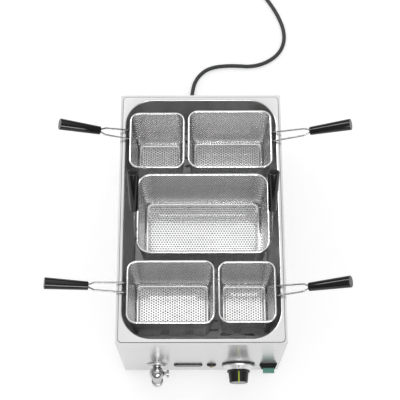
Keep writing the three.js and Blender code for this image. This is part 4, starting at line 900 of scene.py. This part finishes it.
def cut_sheet(boundary, centres, lines=()):
    """Triangles of a flat sheet with holes. Lines are rows of points that its triangles keep to."""
    points = list(boundary)
    edges = [(k, (k + 1) % len(boundary)) for k in range(len(boundary))]
    loops = [list(range(len(boundary)))]
    for line in lines:
        start = len(points)
        points.extend(line)
        edges.extend((k, k + 1) for k in range(start, len(points) - 1))
    first_hole = len(points)
    for x, y in centres:
        start = len(points)
        points.extend((x + across, y + up) for up, across in round_points(HOLE_RADIUS, HOLE_SIDES))
        edges.extend((start + k, start + (k + 1) % HOLE_SIDES) for k in range(HOLE_SIDES))
        loops.append(list(range(start, start + HOLE_SIDES))[::-1])
    found, _, triangles, origins, _, _ = delaunay_2d_cdt([Vector(p) for p in points], edges, [], 1, 1e-7)
    hole_of = [-1] * len(found)
    renamed = [0] * len(points)
    for k, sources in enumerate(origins):
        for source in sources:
            renamed[source] = k
            if source >= first_hole:
                hole_of[k] = (source - first_hole) // HOLE_SIDES
    kept = []
    for triangle in triangles:
        owners = {hole_of[k] for k in triangle}
        if len(owners) > 1 or -1 in owners:
            kept.append(tuple(triangle))
    return np.array(found), kept, [[renamed[k] for k in loop] for loop in loops]


def sheet_mesh(name, flat, triangles, loops, skins, finishes, seam=None):
    """Gives a cut sheet its thickness: two skins, and walls round its edge and its holes.
    The edges that meet at a seam have no wall and are joined."""
    count = len(flat)
    points = np.vstack(skins) * MM + np.array(MIDDLE)
    faces = [*triangles, *((c + count, b + count, a + count) for a, b, c in triangles)]
    numbers = [0] * len(faces)
    for number, loop in enumerate(loops):
        for here, after in zip(loop, loop[1:] + loop[:1]):
            if seam is None or number or not (seam(flat[here]) and seam(flat[after])):
                faces.append((after, here, here + count, after + count))
                numbers.append(1 if number else 0)
    mesh = new_mesh(name, points.tolist(), faces, numbers, finishes)
    if seam is not None:
        with_bmesh(mesh, lambda work: bmesh.ops.remove_doubles(work, verts=work.verts, dist=0.001 * MM))
    return mesh


def wall_sheet(basket, finishes):
    """The tub's wall with its bottom fillet, one strip round from a seam at a front corner."""
    mean_radius = TUB_FILLET + TUB_SHEET / 2
    fillet = mean_radius * math.pi / 2
    foot = TUB_UNDER + TUB_FILLET + TUB_SHEET
    tall = TUB_TOP - foot
    top = fillet + tall
    stops, facing, corner_x, corner_y = basket.wall_line()
    around = float(stops[-1])
    steps = round(around / WALL_STEP)
    across = [around * k / steps for k in range(steps + 1)]
    sides = [top * k / SEAM_STEPS for k in range(1, SEAM_STEPS)]
    boundary = [(s, 0) for s in across] + [(around, t) for t in sides]
    boundary += [(s, top) for s in across[::-1]] + [(0, t) for t in sides[::-1]]
    lines = [[(s, t) for s in across[1:-1]] for t in (FOOT_LINE, FIRST_ROW + ROW_PITCH / 2)]
    flat, triangles, loops = cut_sheet(boundary, wall_holes(around, FIRST_ROW, top - TOP_MARGIN), lines)
    s, t = flat.T
    turned = np.clip(t / mean_radius, 0, math.pi / 2)
    share = np.clip((t - fillet) / tall, 0, 1)
    angle = np.interp(s, stops, facing)
    skins = []
    for grow in (TUB_SHEET, 0):
        bend = TUB_FILLET + grow
        inward = (RIM_WIRE + TUB_SHEET) / 2 - grow + TUB_TAPER * (1 - share) + bend * (1 - np.sin(turned))
        x = basket.x + np.interp(s, stops, corner_x) + (basket.corner - inward) * np.cos(angle)
        y = basket.y + np.interp(s, stops, corner_y) + (basket.corner - inward) * np.sin(angle)
        skins.append(np.stack([x, y, foot - bend * np.cos(turned) + tall * share], axis=1))
    return sheet_mesh(f"{basket.name}_wall", flat, triangles, loops, skins, finishes,
                      seam=lambda point: point[0] < 1e-4 or point[0] > around - 1e-4)


def from_edge(x, y, width, length, corner):
    """How far points are inside the edge of a rectangle with round corners."""
    beyond_x = np.maximum(np.abs(x) - width / 2 + corner, 0)
    beyond_y = np.maximum(np.abs(y) - length / 2 + corner, 0)
    straight = np.minimum(width / 2 - np.abs(x), length / 2 - np.abs(y))
    return np.where((beyond_x > 0) & (beyond_y > 0), corner - np.hypot(beyond_x, beyond_y), straight)


def floor_sheet(basket, finishes):
    """The tub's floor. A ledge round its edge is pressed a little higher than its middle."""
    inset = (RIM_WIRE + TUB_SHEET) / 2 + TUB_TAPER + TUB_FILLET
    form = (basket.width - 2 * inset, basket.length - 2 * inset, basket.corner - inset)
    width, length, _ = form
    edge = rounded_rect(*form, 6)
    boundary = []
    for (ax, ay), (bx, by) in zip(edge, edge[1:] + edge[:1]):
        pieces = max(1, round(math.hypot(bx - ax, by - ay) / FLOOR_STEP))
        boundary += [(ax + (bx - ax) * k / pieces, ay + (by - ay) * k / pieces) for k in range(pieces)]
    if basket.name == "middle":
        centres = hole_rows(width, length)
    else:
        centres = [(x, y) for y, x in hole_rows(length, width)]
    centres = [(x, y) for x, y in centres if from_edge(x, y, *form) > FLOOR_MARGIN]
    flat, triangles, loops = cut_sheet(boundary, centres)
    x, y = flat.T
    inward = from_edge(x, y, *form)
    up = np.clip(inward / LEDGE_START, 0, 1)
    down = np.clip((inward - basket.ledge) / LEDGE_SLOPE, 0, 1)
    ledge = LEDGE_HEIGHT * (up - down)
    skins = [np.stack([basket.x + x, basket.y + y, TUB_UNDER + height + ledge], axis=1)
             for height in (TUB_SHEET, 0)]
    return sheet_mesh(f"{basket.name}_floor", flat, triangles, loops, skins, finishes)


def handle_path(towards, across, wire_length):
    """The handle's wire in its own frame: x outward from the rim's edge, z = 0 at the rim."""
    out = HANDLE_WIRE / 2 + SEAT_GAP
    slope = TUB_TAPER / (RIM_HEIGHT - TUB_UNDER - TUB_FILLET)
    wall_foot = (TUB_SHEET - RIM_WIRE) / 2 - HANDLE_DROP * slope + out
    neck = wire_length - HANDLE_NECK
    end = wire_length + GRIP_SOCKET_DEPTH - out

    def leg(side):
        foot = side * HANDLE_SPREAD / 2
        corners = [(wall_foot, foot, -HANDLE_DROP, 0), (out, foot, -HANDLE_BEND, HANDLE_BEND),
                   (out, foot, HANDLE_BEND / 2, HANDLE_BEND)]
        for length, spread, bend in ((neck, HANDLE_NECK_SPREAD, HANDLE_NECK / 2),
                                     (wire_length + 1, HANDLE_MOUTH_SPREAD, HANDLE_NECK / 2),
                                     (end, HANDLE_MOUTH_SPREAD, HANDLE_MOUTH_SPREAD / 2)):
            corners.append((*Vector((out, 0, 0)) + towards * length + across * side * spread / 2, bend))
        return corners

    return bent_path(leg(-1) + leg(1)[::-1])


def build_handle(basket, name, side, root_y, towards, across, wire_length, finishes):
    """A bent wire on one side of a basket, and the grip on its end. Towards is the grip's way."""
    steel, grip_black, grip_end = finishes
    root = Matrix.Translation((basket.x + side * basket.width / 2, basket.y + root_y, RIM_HEIGHT))
    if side < 0:
        root = root @ Matrix.Rotation(math.pi, 4, "Z")
    wire = tube(handle_path(towards, across, wire_length), HANDLE_WIRE / 2)
    build(f"{name}_wire", [(steel, wire)], (f"{name}_handle",), root, basket.body)

    mouth = (HANDLE_MOUTH_SPREAD + HANDLE_WIRE) / 2 + GRIP_WALL_GAP
    lip = GRIP_END_RADIUS - GRIP_END_WALL
    recess = GRIP_LENGTH - GRIP_RECESS
    grip = lathe([(0, GRIP_SOCKET_DEPTH), (mouth, GRIP_SOCKET_DEPTH), (mouth, 0), (GRIP_MOUTH_RADIUS, 0),
                  (GRIP_END_RADIUS, GRIP_LENGTH), (lip, GRIP_LENGTH), (lip, recess), (0, recess)], 1.1)
    cap = lathe([(0, GRIP_LENGTH - 1.2), (lip - 0.3, GRIP_LENGTH - 1.2), (lip - 0.3, GRIP_LENGTH - 0.2),
                 (0, GRIP_LENGTH - 0.2)], 0.4)
    place = root @ seat(Vector((HANDLE_WIRE / 2 + SEAT_GAP, 0, 0)) + towards * wire_length, towards, across)
    build(f"{name}_hand_grip", [(grip_black, grip), (grip_end, cap)], (f"{name}_grip",),
          place, basket.body)


def build_basket(name, sheets, rim, handles):
    basket = Basket(name)
    for part, sheet, nodes in (("wall", wall_sheet, (f"{name}_tub",)), ("floor", floor_sheet, ())):
        dress(f"{name}_{part}_sheet", sheet(basket, sheets), basket.body, nodes,
              SHEET_SMOOTH_UP_TO)
    wire = [level_ring(basket.outline(x - RIM_WIRE / 2), RIM_HEIGHT + z)
            for x, z in round_points(RIM_WIRE / 2, 16)]
    build(f"{name}_rim_wire", [(rim, loft(wire, True))], (f"{name}_rim",), body=basket.body)
    if name == "middle":
        for end, side in (("left", -1), ("right", 1)):
            towards = Vector((0, side * math.sin(MIDDLE_LEAN), math.cos(MIDDLE_LEAN)))
            across = Vector((0, math.cos(MIDDLE_LEAN), -side * math.sin(MIDDLE_LEAN)))
            build_handle(basket, f"middle_{end}", side, MIDDLE_SETBACK, towards, across, MIDDLE_WIRE, handles)
    else:
        side, wire_length, rise, setback = SIDE_HANDLES[name]
        towards = Vector((math.cos(rise), 0, math.sin(rise)))
        build_handle(basket, name, side, setback, towards, Vector((0, 1, 0)), wire_length, handles)


# Tank, feet and screws
def inset_ring(from_sides, from_ends, corner, height, steps=12):
    """A level ring with round corners, by how far it is inside the housing's sides and ends."""
    width = HOUSING_WIDTH - 2 * from_sides
    length = HOUSING_LENGTH - 2 * from_ends
    return level_ring(rounded_rect(width, length, corner, steps), height)


def build_tank(finish):
    """The drawn tank and the plate round it, one skin inside the other."""
    lip_height = PLATE_HEIGHT - TANK_LIP
    fillet_height = TANK_FLOOR + TANK_FLOOR_FILLET
    wall_foot = -math.tan(TANK_DRAFT) * (lip_height - fillet_height)

    def ring(offset, height):
        return inset_ring(SIDE_BORDER - offset, END_BORDER - offset, TANK_CORNER + offset, height, 20)

    def plate(height, inset=0.0):
        return inset_ring(PLATE_INSET + inset, PLATE_INSET + inset, PLATE_CORNER - inset, height, 20)

    def skin(grow):
        """From the floor, round its fillet and up the wall, and over the lip."""
        fillet = round_points(TANK_FLOOR_FILLET + grow, 8, math.pi / 2, -math.pi / 2)
        rings = [ring(wall_foot - TANK_FLOOR_FILLET + x, fillet_height - z) for x, z in fillet]
        lip = round_points(TANK_LIP - grow, 6, math.pi / 2, -math.pi / 2)
        return rings + [ring(TANK_LIP - z, lip_height + x) for x, z in lip]

    edge = [plate(PLATE_HEIGHT, 0.4), plate(PLATE_HEIGHT - 0.4), plate(PLATE_HEIGHT - SHEET)]
    build("tank_and_plate", [(finish, loft(skin(0) + edge + skin(SHEET)[::-1]))], ("tank",))


def build_plate_step_shade(dark):
    """A dark line in the step between the plate's edge and the housing's fold: painted shade of the step."""
    rings = []
    for further, up in ((0.3, 0.02), (-0.9, 0.02), (-0.5, 0.5), (-0.05, 0.9), (0.3, 0.9)):
        inset = PLATE_INSET + further
        rings.append(inset_ring(inset, inset, PLATE_CORNER - further, PLATE_HEIGHT - SHEET + up))
    build("plate_step_shade", [(dark, loft(rings, True))], ())


def build_feet(rubber):
    foot = lathe([(0, 3), (6, 3), (6, 0), (15, 0), (16.4, 11), (17.2, 12.2), (18, 23), (0, 23)], 1.2)
    for corner in ("front_left", "front_right", "rear_left", "rear_right"):
        middle, _ = measured(f"foot_{corner}")
        build(f"rubber_foot_{corner}", [(rubber, foot)], (f"foot_{corner}",),
              Matrix.Translation((middle.x, middle.y, 0)))


def build_screws(steel):
    """Domed heads with hexagon sockets."""
    dome = [level_ring(round_points(radius, 36), out)
            for radius, out in ((3.6, 0.05), (3.6, 0.5), (3.1, 1.2), (2.2, 1.7))]
    socket = [level_ring(hexagon(1.5), 1.8), level_ring(hexagon(1.4), 0.6)]
    for number in range(1, 5):
        middle, _ = measured(f"cover_screw_{number}")
        build(f"screw_head_{number}", [(steel, loft(dome + socket))], (f"cover_screw_{number}",),
              rear_seat(middle.x, middle.z))


# Controls
def build_bezel(gloss_black, steel, tick_black):
    """The knob's black backing ring, and on it the bezel's cone with the tick that marks off."""
    place = front_seat("knob_ring")
    bore = BEZEL_BORE_RADIUS
    base = BEZEL_BASE_RADIUS
    face = BEZEL_TOP_RADIUS
    low = KNOB_RING_HEIGHT
    top = low + BEZEL_HEIGHT
    ring = lathe([(bore, 0), (KNOB_RING_RADIUS, 0), (KNOB_RING_RADIUS, low), (base, low), (bore, low)],
                 0.9, 96, True)
    build("knob_backing_ring", [(gloss_black, ring)], ("knob_ring",), place)
    cone = lathe([(bore, low), (base, low), (base - 0.6, low + 2.4), (face + 1.2, top - 1.6), (face, top),
                  (bore, top)], 1, 96, True)
    tick = loft([level_ring(rounded_rect(1.6, 6.5, 0.5, 3), height) for height in (-1.4, 0.75)])
    slope = Matrix.Rotation(-math.atan2(BEZEL_HEIGHT, base - face), 4, "X")
    tick = moved(tick, Matrix.Translation((0, (base + face) / 2, (low + top) / 2)) @ slope)
    build("knob_bezel_cone", [(steel, cone), (tick_black, tick)], ("knob_bezel",), place)


def build_knob(black, cap, yellow):
    """The knob with the disc in its end, and the pointer over its side and end."""
    place = front_seat("knob_ring")
    back = KNOB_RING_HEIGHT + BEZEL_HEIGHT + KNOB_CLEARANCE
    end = back + KNOB_HEIGHT
    bore = KNOB_BORE_RADIUS
    rim = KNOB_END_RADIUS
    knob = lathe([
        (0, back + KNOB_BORE_DEPTH), (bore, back + KNOB_BORE_DEPTH), (bore, back), (KNOB_FLANGE_RADIUS, back),
        (KNOB_FLANGE_RADIUS, back + 2.2), (KNOB_BODY_RADIUS, back + 3.4), (rim, end), (rim - 2.2, end),
        (rim - 2.6, end - 0.5), (0, end - 0.5),
    ], 0.9, 96)
    disc = lathe([(0, end - 0.7), (rim - 3, end - 0.7), (rim - 3, end - 0.1), (0, end - 0.1)], 0.3, 96)
    build("control_knob", [(black, knob), (cap, disc)], ("knob",), place, "knob_body")
    low = KNOB_BODY_RADIUS - 0.4
    tip = rim - 0.4
    top = end + POINTER_HEIGHT
    outline = softened([
        (low, back + 3.6), (low + POINTER_HEIGHT, back + 3.6), (tip + POINTER_HEIGHT + 0.3, end), (tip, top),
        (tip / 2, top), (tip / 2, end - 0.3), (tip - 0.5, end - 0.5),
    ], 0.5)
    line = slab(outline, -POINTER_WIDTH / 2, POINTER_WIDTH / 2)
    build("knob_pointer_line", [(yellow, line)], ("knob_pointer",), place, "knob_body", 0.2)


def build_lamp(black, lens):
    """The pilot lamp's collar and its domed lens."""
    place = front_seat("lamp_bezel")
    bore = LENS_RADIUS + SEAT_GAP
    collar = lathe([(bore, -1), (LAMP_RADIUS, -0.05), (LAMP_RADIUS, LAMP_HEIGHT / 2),
                    ((LAMP_RADIUS + bore) / 2, LAMP_HEIGHT), (bore, LAMP_HEIGHT), (bore, 1)], 0.8, ring=True)
    build("lamp_collar", [(black, collar)], ("lamp_bezel",), place)
    rise = (LENS_HEIGHT - LAMP_HEIGHT) / LENS_RADIUS
    dome = [(x, LAMP_HEIGHT + y * rise) for x, y in round_points(LENS_RADIUS, 8, 0, math.pi / 2)]
    shape = lathe([(0, -6), (LENS_RADIUS, -6), *dome], steps=48)
    build("lamp_dome", [(lens, shape)], ("lamp_lens",), place)


def build_badge(gloss_black):
    """The blank oblong plate, with a shallow step inside its edge."""
    rings = []
    for inset, out in ((0, 0), (0, 2.2), (0.3, 2.9), (1.1, BADGE_THICKNESS), (2, BADGE_THICKNESS),
                       (2.5, BADGE_THICKNESS - 0.4)):
        outline = rounded_rect(BADGE_LENGTH - 2 * inset, BADGE_WIDTH - 2 * inset, BADGE_WIDTH / 2 - inset, 16)
        rings.append(level_ring(outline, out))
    build("blank_plate", [(gloss_black, loft(rings))], ("badge_plate",),
          front_seat("badge_plate"))


def build_switch(black, green):
    """The switch's frame through the panel, and the rocker with its higher upper half."""
    place = front_seat("switch_frame")
    open_width = ROCKER_WIDTH + 0.8
    open_tall = ROCKER_TALL + 2.6
    rings = [level_ring(rounded_rect(width, tall, corner, 6), out) for width, tall, corner, out in (
        (SWITCH_BODY_WIDTH, SWITCH_BODY_TALL, 1, -SWITCH_BODY_DEPTH),
        (SWITCH_BODY_WIDTH, SWITCH_BODY_TALL, 1, 0),
        (SWITCH_WIDTH, SWITCH_TALL, 3, 0),
        (SWITCH_WIDTH, SWITCH_TALL, 3, 1.4),
        (SWITCH_WIDTH - 1.6, SWITCH_TALL - 1.4, 3, 2.6),
        (SWITCH_FRONT_WIDTH, SWITCH_FRONT_TALL, 3, SWITCH_HEIGHT),
        (open_width, open_tall, 0.5, SWITCH_HEIGHT),
        (open_width, open_tall, 0.5, -SWITCH_BODY_DEPTH),
    )]
    build("switch_surround", [(black, loft(rings, True))], ("switch_frame",), place,
          round_edges=0.4)
    half = ROCKER_TALL / 2
    high = ROCKER_HEIGHT
    low = ROCKER_LOW_HEIGHT
    outline = softened([
        (-half / 2, -ROCKER_TAIL), (half / 2, -ROCKER_TAIL), (half, 0), (half, high - 1.4),
        (half - 1.2, high), (0.5, (high + low) / 2 - 1.8), (1.4 - half, low), (-half, low - 1.4),
        (-half, 0), (-half / 2, -ROCKER_TAIL),
    ], 1.1)[:-1]
    key = slab(outline, -ROCKER_WIDTH / 2, ROCKER_WIDTH / 2)
    build("switch_key", [(green, key)], ("switch_rocker",), place, "rocker_body", 0.5)


def build_tap(steel):
    """The tap's flange on the panel, and its barrel with the spout that hangs from it."""
    place = front_seat("tap_flange")
    neck = TAP_NECK_RADIUS
    bore = neck + SEAT_GAP
    wide = TAP_FLANGE_RADIUS
    ball = TAP_BALL_RADIUS
    flange = lathe([(bore, 0), (wide, 0), (wide, 1.5), (wide * 0.8, TAP_FLANGE_HEIGHT),
                    (bore, TAP_FLANGE_HEIGHT)], 1.2, 72, True)
    build("tap_wall_flange", [(steel, flange)], ("tap_flange",), place)
    barrel = lathe([(0, SEAT_GAP), (neck, SEAT_GAP), (neck, 7.1), (13, 10.6), (ball, 16.6), (ball, 20.2),
                    (14.3, 26.6), (9.4, 32.7), (0, TAP_REACH)], 3, 72, edge_steps=5)
    bore = SPOUT_BORE_RADIUS
    pipe = SPOUT_RADIUS
    mouth = SPOUT_MOUTH_RADIUS
    end = SPOUT_LENGTH
    profile = softened([(bore, neck), (pipe, neck), (pipe, end / 2), (pipe + 0.6, end - 9.5),
                        (mouth, end - 8.5), (mouth, end), (bore, end), (bore, neck)], 0.8)[:-1]
    down = (0, -math.cos(SPOUT_LEAN), math.sin(SPOUT_LEAN))
    spout = moved(lathe(profile, steps=56, ring=True), seat((0, 0, TAP_STEM_OUT), down, (1, 0, 0)))
    build("tap_barrel", [(steel, barrel), (steel, spout)], ("tap_body",), place)


def build_lever(steel):
    """The tap's lever, an oblong blade that hangs from its stem."""
    outline = []
    for radius, turned, drop in ((LEVER_BOSS_RADIUS, 0, 0), (LEVER_TIP_RADIUS, math.pi, LEVER_LENGTH)):
        arc = round_points(radius, 16, turned, math.pi)
        outline += [(z - drop, TAP_STEM_OUT - y) for y, z in arc]
    start = TAP_BALL_RADIUS + LEVER_STEM_LENGTH
    blade = slab(outline, start, start + LEVER_THICKNESS)
    stem = lathe([(0, 0.3), (LEVER_STEM_RADIUS, 0.3), (LEVER_STEM_RADIUS, 7), (0, 7)], 0.5, 32)
    stem = moved(stem, seat((TAP_BALL_RADIUS, 0, TAP_STEM_OUT), (1, 0, 0), (0, 1, 0)))
    build("tap_handle", [(steel, blade), (steel, stem)], ("tap_lever",),
          front_seat("tap_flange"), "lever_body", 0.9)


# Studio
def lay_floor(finish):
    mesh = bpy.data.meshes.new("studio_floor")
    corners = [(x * FLOOR_REACH, y * FLOOR_REACH, 0) for x, y in ((-1, -1), (1, -1), (1, 1), (-1, 1))]
    mesh.from_pydata(corners, [], [(0, 1, 2, 3)])
    mesh.materials.append(finish)
    floor = bpy.data.objects.new("studio_floor", mesh)
    bpy.context.scene.collection.objects.link(floor)


def hang_lamp(name, place, aim, size, power, only_gloss):
    """A soft box whose first side lies along X. With only_gloss it is seen in shiny surfaces alone."""
    data = bpy.data.lights.new(name, "AREA")
    data.shape = "RECTANGLE"
    data.size, data.size_y = size
    data.energy = power
    lamp = bpy.data.objects.new(name, data)
    lamp.matrix_world = seat(place, Vector(place) - Vector(aim), (1, 0, 0))
    lamp.visible_diffuse = not only_gloss
    bpy.context.scene.collection.objects.link(lamp)


def light_studio():
    """A white room. Mirrors see it dark at the horizon and bright overhead towards the rear, which
    draws the edges of the metal and whitens the baskets' floors."""
    world = bpy.data.worlds.new("studio")
    bpy.context.scene.world = world
    world.use_nodes = True
    room = Nodes(world.node_tree)
    glossy = room.ray("Glossy")
    direct = {0: room.ray("Camera"), 1: room.ray("Transmission")}
    shown = room.node("ShaderNodeMath", {"operation": "MAXIMUM"}, direct)
    direction = room.node("ShaderNodeTexCoord", output="Generated")
    height = room.node("ShaderNodeSeparateXYZ", None, {0: direction}, "Z")
    rise = room.between(height, 0.0, HORIZON_TOP)
    overhead = room.node("ShaderNodeVectorMath", {"operation": "DOT_PRODUCT"}, {0: direction, 1: BOX_WAY}, 1)
    patch = room.between(overhead, BOX_EDGE, BOX_CORE)
    mirrored = HORIZON_LIGHT + rise * (SKY_LIGHT - HORIZON_LIGHT) + patch * (BOX_LIGHT - SKY_LIGHT)
    strength = shown + glossy * mirrored + (1 - glossy - shown) * WORLD_LIGHT
    light = room.node("ShaderNodeBackground", None, {"Color": (1, 1, 1, 1), "Strength": strength})
    room.node("ShaderNodeOutputWorld", None, {"Surface": light})
    for name, lamp in LAMPS.items():
        hang_lamp(name, *lamp)
    bpy.context.scene.view_settings.view_transform = "Standard"


# The whole cooker
def dress_baskets():
    # The holes' walls get a near-black finish: painted shade inside the holes.
    sheets = (perforated_finish(), brushed_steel("hole_wall_painted_shade", (60, 60, 60), grey(0.07), grey(0.04), 0.4))
    rim = wire_finish("rim_wire_steel", grey(0.6), grey(0.82))
    # The handles' rod is a darker copy of the rims' rod: painted shade.
    handle = wire_finish("handle_wire_painted_shade", grey(0.2), grey(0.36))
    grip_black = moulded("grip_black", (0.004, 0.004, 0.0045, 1), 0.06, shine=0.38)
    grip_end = moulded("grip_end", (0.012, 0.012, 0.013, 1), 0.22)
    # The middle basket's grips get a darker, less shiny copy of the end cap: painted shade.
    painted_shade_grip_end = moulded("grip_end_painted_shade", (0.004, 0.004, 0.0045, 1), 0.3, shine=0.06)
    for name in CORNERS:
        build_basket(name, sheets, rim, (handle, grip_black, painted_shade_grip_end if name == "middle" else grip_end))


def dress_controls(black):
    gloss_black = moulded("gloss_black", (0.012, 0.012, 0.013, 1), 0.16, 0.2)
    build_bezel(gloss_black, brushed_steel("bezel_steel", (90, 90, 90), grey(0.78), grey(0.7), 0.28),
                moulded("tick_black", (0.015, 0.015, 0.015, 1), 0.5))
    build_knob(black, moulded("cap_grey", (0.3, 0.31, 0.32, 1), 0.3),
               moulded("pointer_yellow", (0.5, 0.6, 0.03, 1), 0.35))
    build_lamp(black, lens_finish())
    build_badge(gloss_black)
    build_switch(moulded("switch_black", (0.008, 0.008, 0.009, 1), 0.45, shine=0.06), rocker_finish())
    # The tap and its lever get darker copies of the plated metal: painted shade, darkest on the lever.
    build_tap(bright_finish("tap_steel_painted_shade", grey(0.44), grey(0.6)))
    build_lever(bright_finish("lever_steel_painted_shade", grey(0.2), grey(0.34)))


def dress_own_shapes(steel, black):
    """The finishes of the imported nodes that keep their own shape."""
    panel = brushed_steel("brushed_housing", (4, 4, 1100), grey(0.74), grey(0.61), 0.12, 0.62)
    for node in ("housing_wrap", "back_cover", "base_plate"):
        finish_node(node, panel, 0.4)
    well = brushed_steel("well_steel", (500, 14, 40), grey(0.52), grey(0.4), 0.3)
    for node in ("false_bottom_rail_left", "false_bottom_rail_right", "drain_pipe"):
        finish_node(node, well)
    slotted = brushed_steel("false_bottom_steel", (400, 12, 40), grey(0.42), grey(0.34), 0.3)
    finish_node("false_bottom", slotted)
    finish_node("heating_element", brushed_steel("element_steel", (60, 60, 60), grey(0.34), grey(0.24), 0.4))
    finish_node("knob_shaft", steel)
    finish_node("thermostat", black)
    finish_node("terminal_block", moulded("terminal_white", (0.7, 0.69, 0.65, 1), 0.5))


def dress_cooker():
    rubber = moulded("rubber_black", (0.02, 0.02, 0.021, 1), 0.55)
    black = moulded("control_black", (0.01, 0.01, 0.011, 1), 0.26, shine=0.3)
    steel = bright_finish("bright_steel", grey(0.66), grey(0.8))
    build_cord(moulded("cord_grey", (0.05, 0.052, 0.055, 1), 0.45, shine=0.3), rubber, steel)
    build_tank(tank_finish())
    dress_baskets()
    dress_controls(black)
    # Painted shade in the step under the plate's edge.
    build_plate_step_shade(moulded("step_shade_grey", (0.05, 0.05, 0.05, 1), 0.5))
    build_feet(rubber)
    build_screws(steel)
    dress_own_shapes(steel, black)


set_camera()
light_studio()
lay_floor(floor_finish())
dress_cooker()
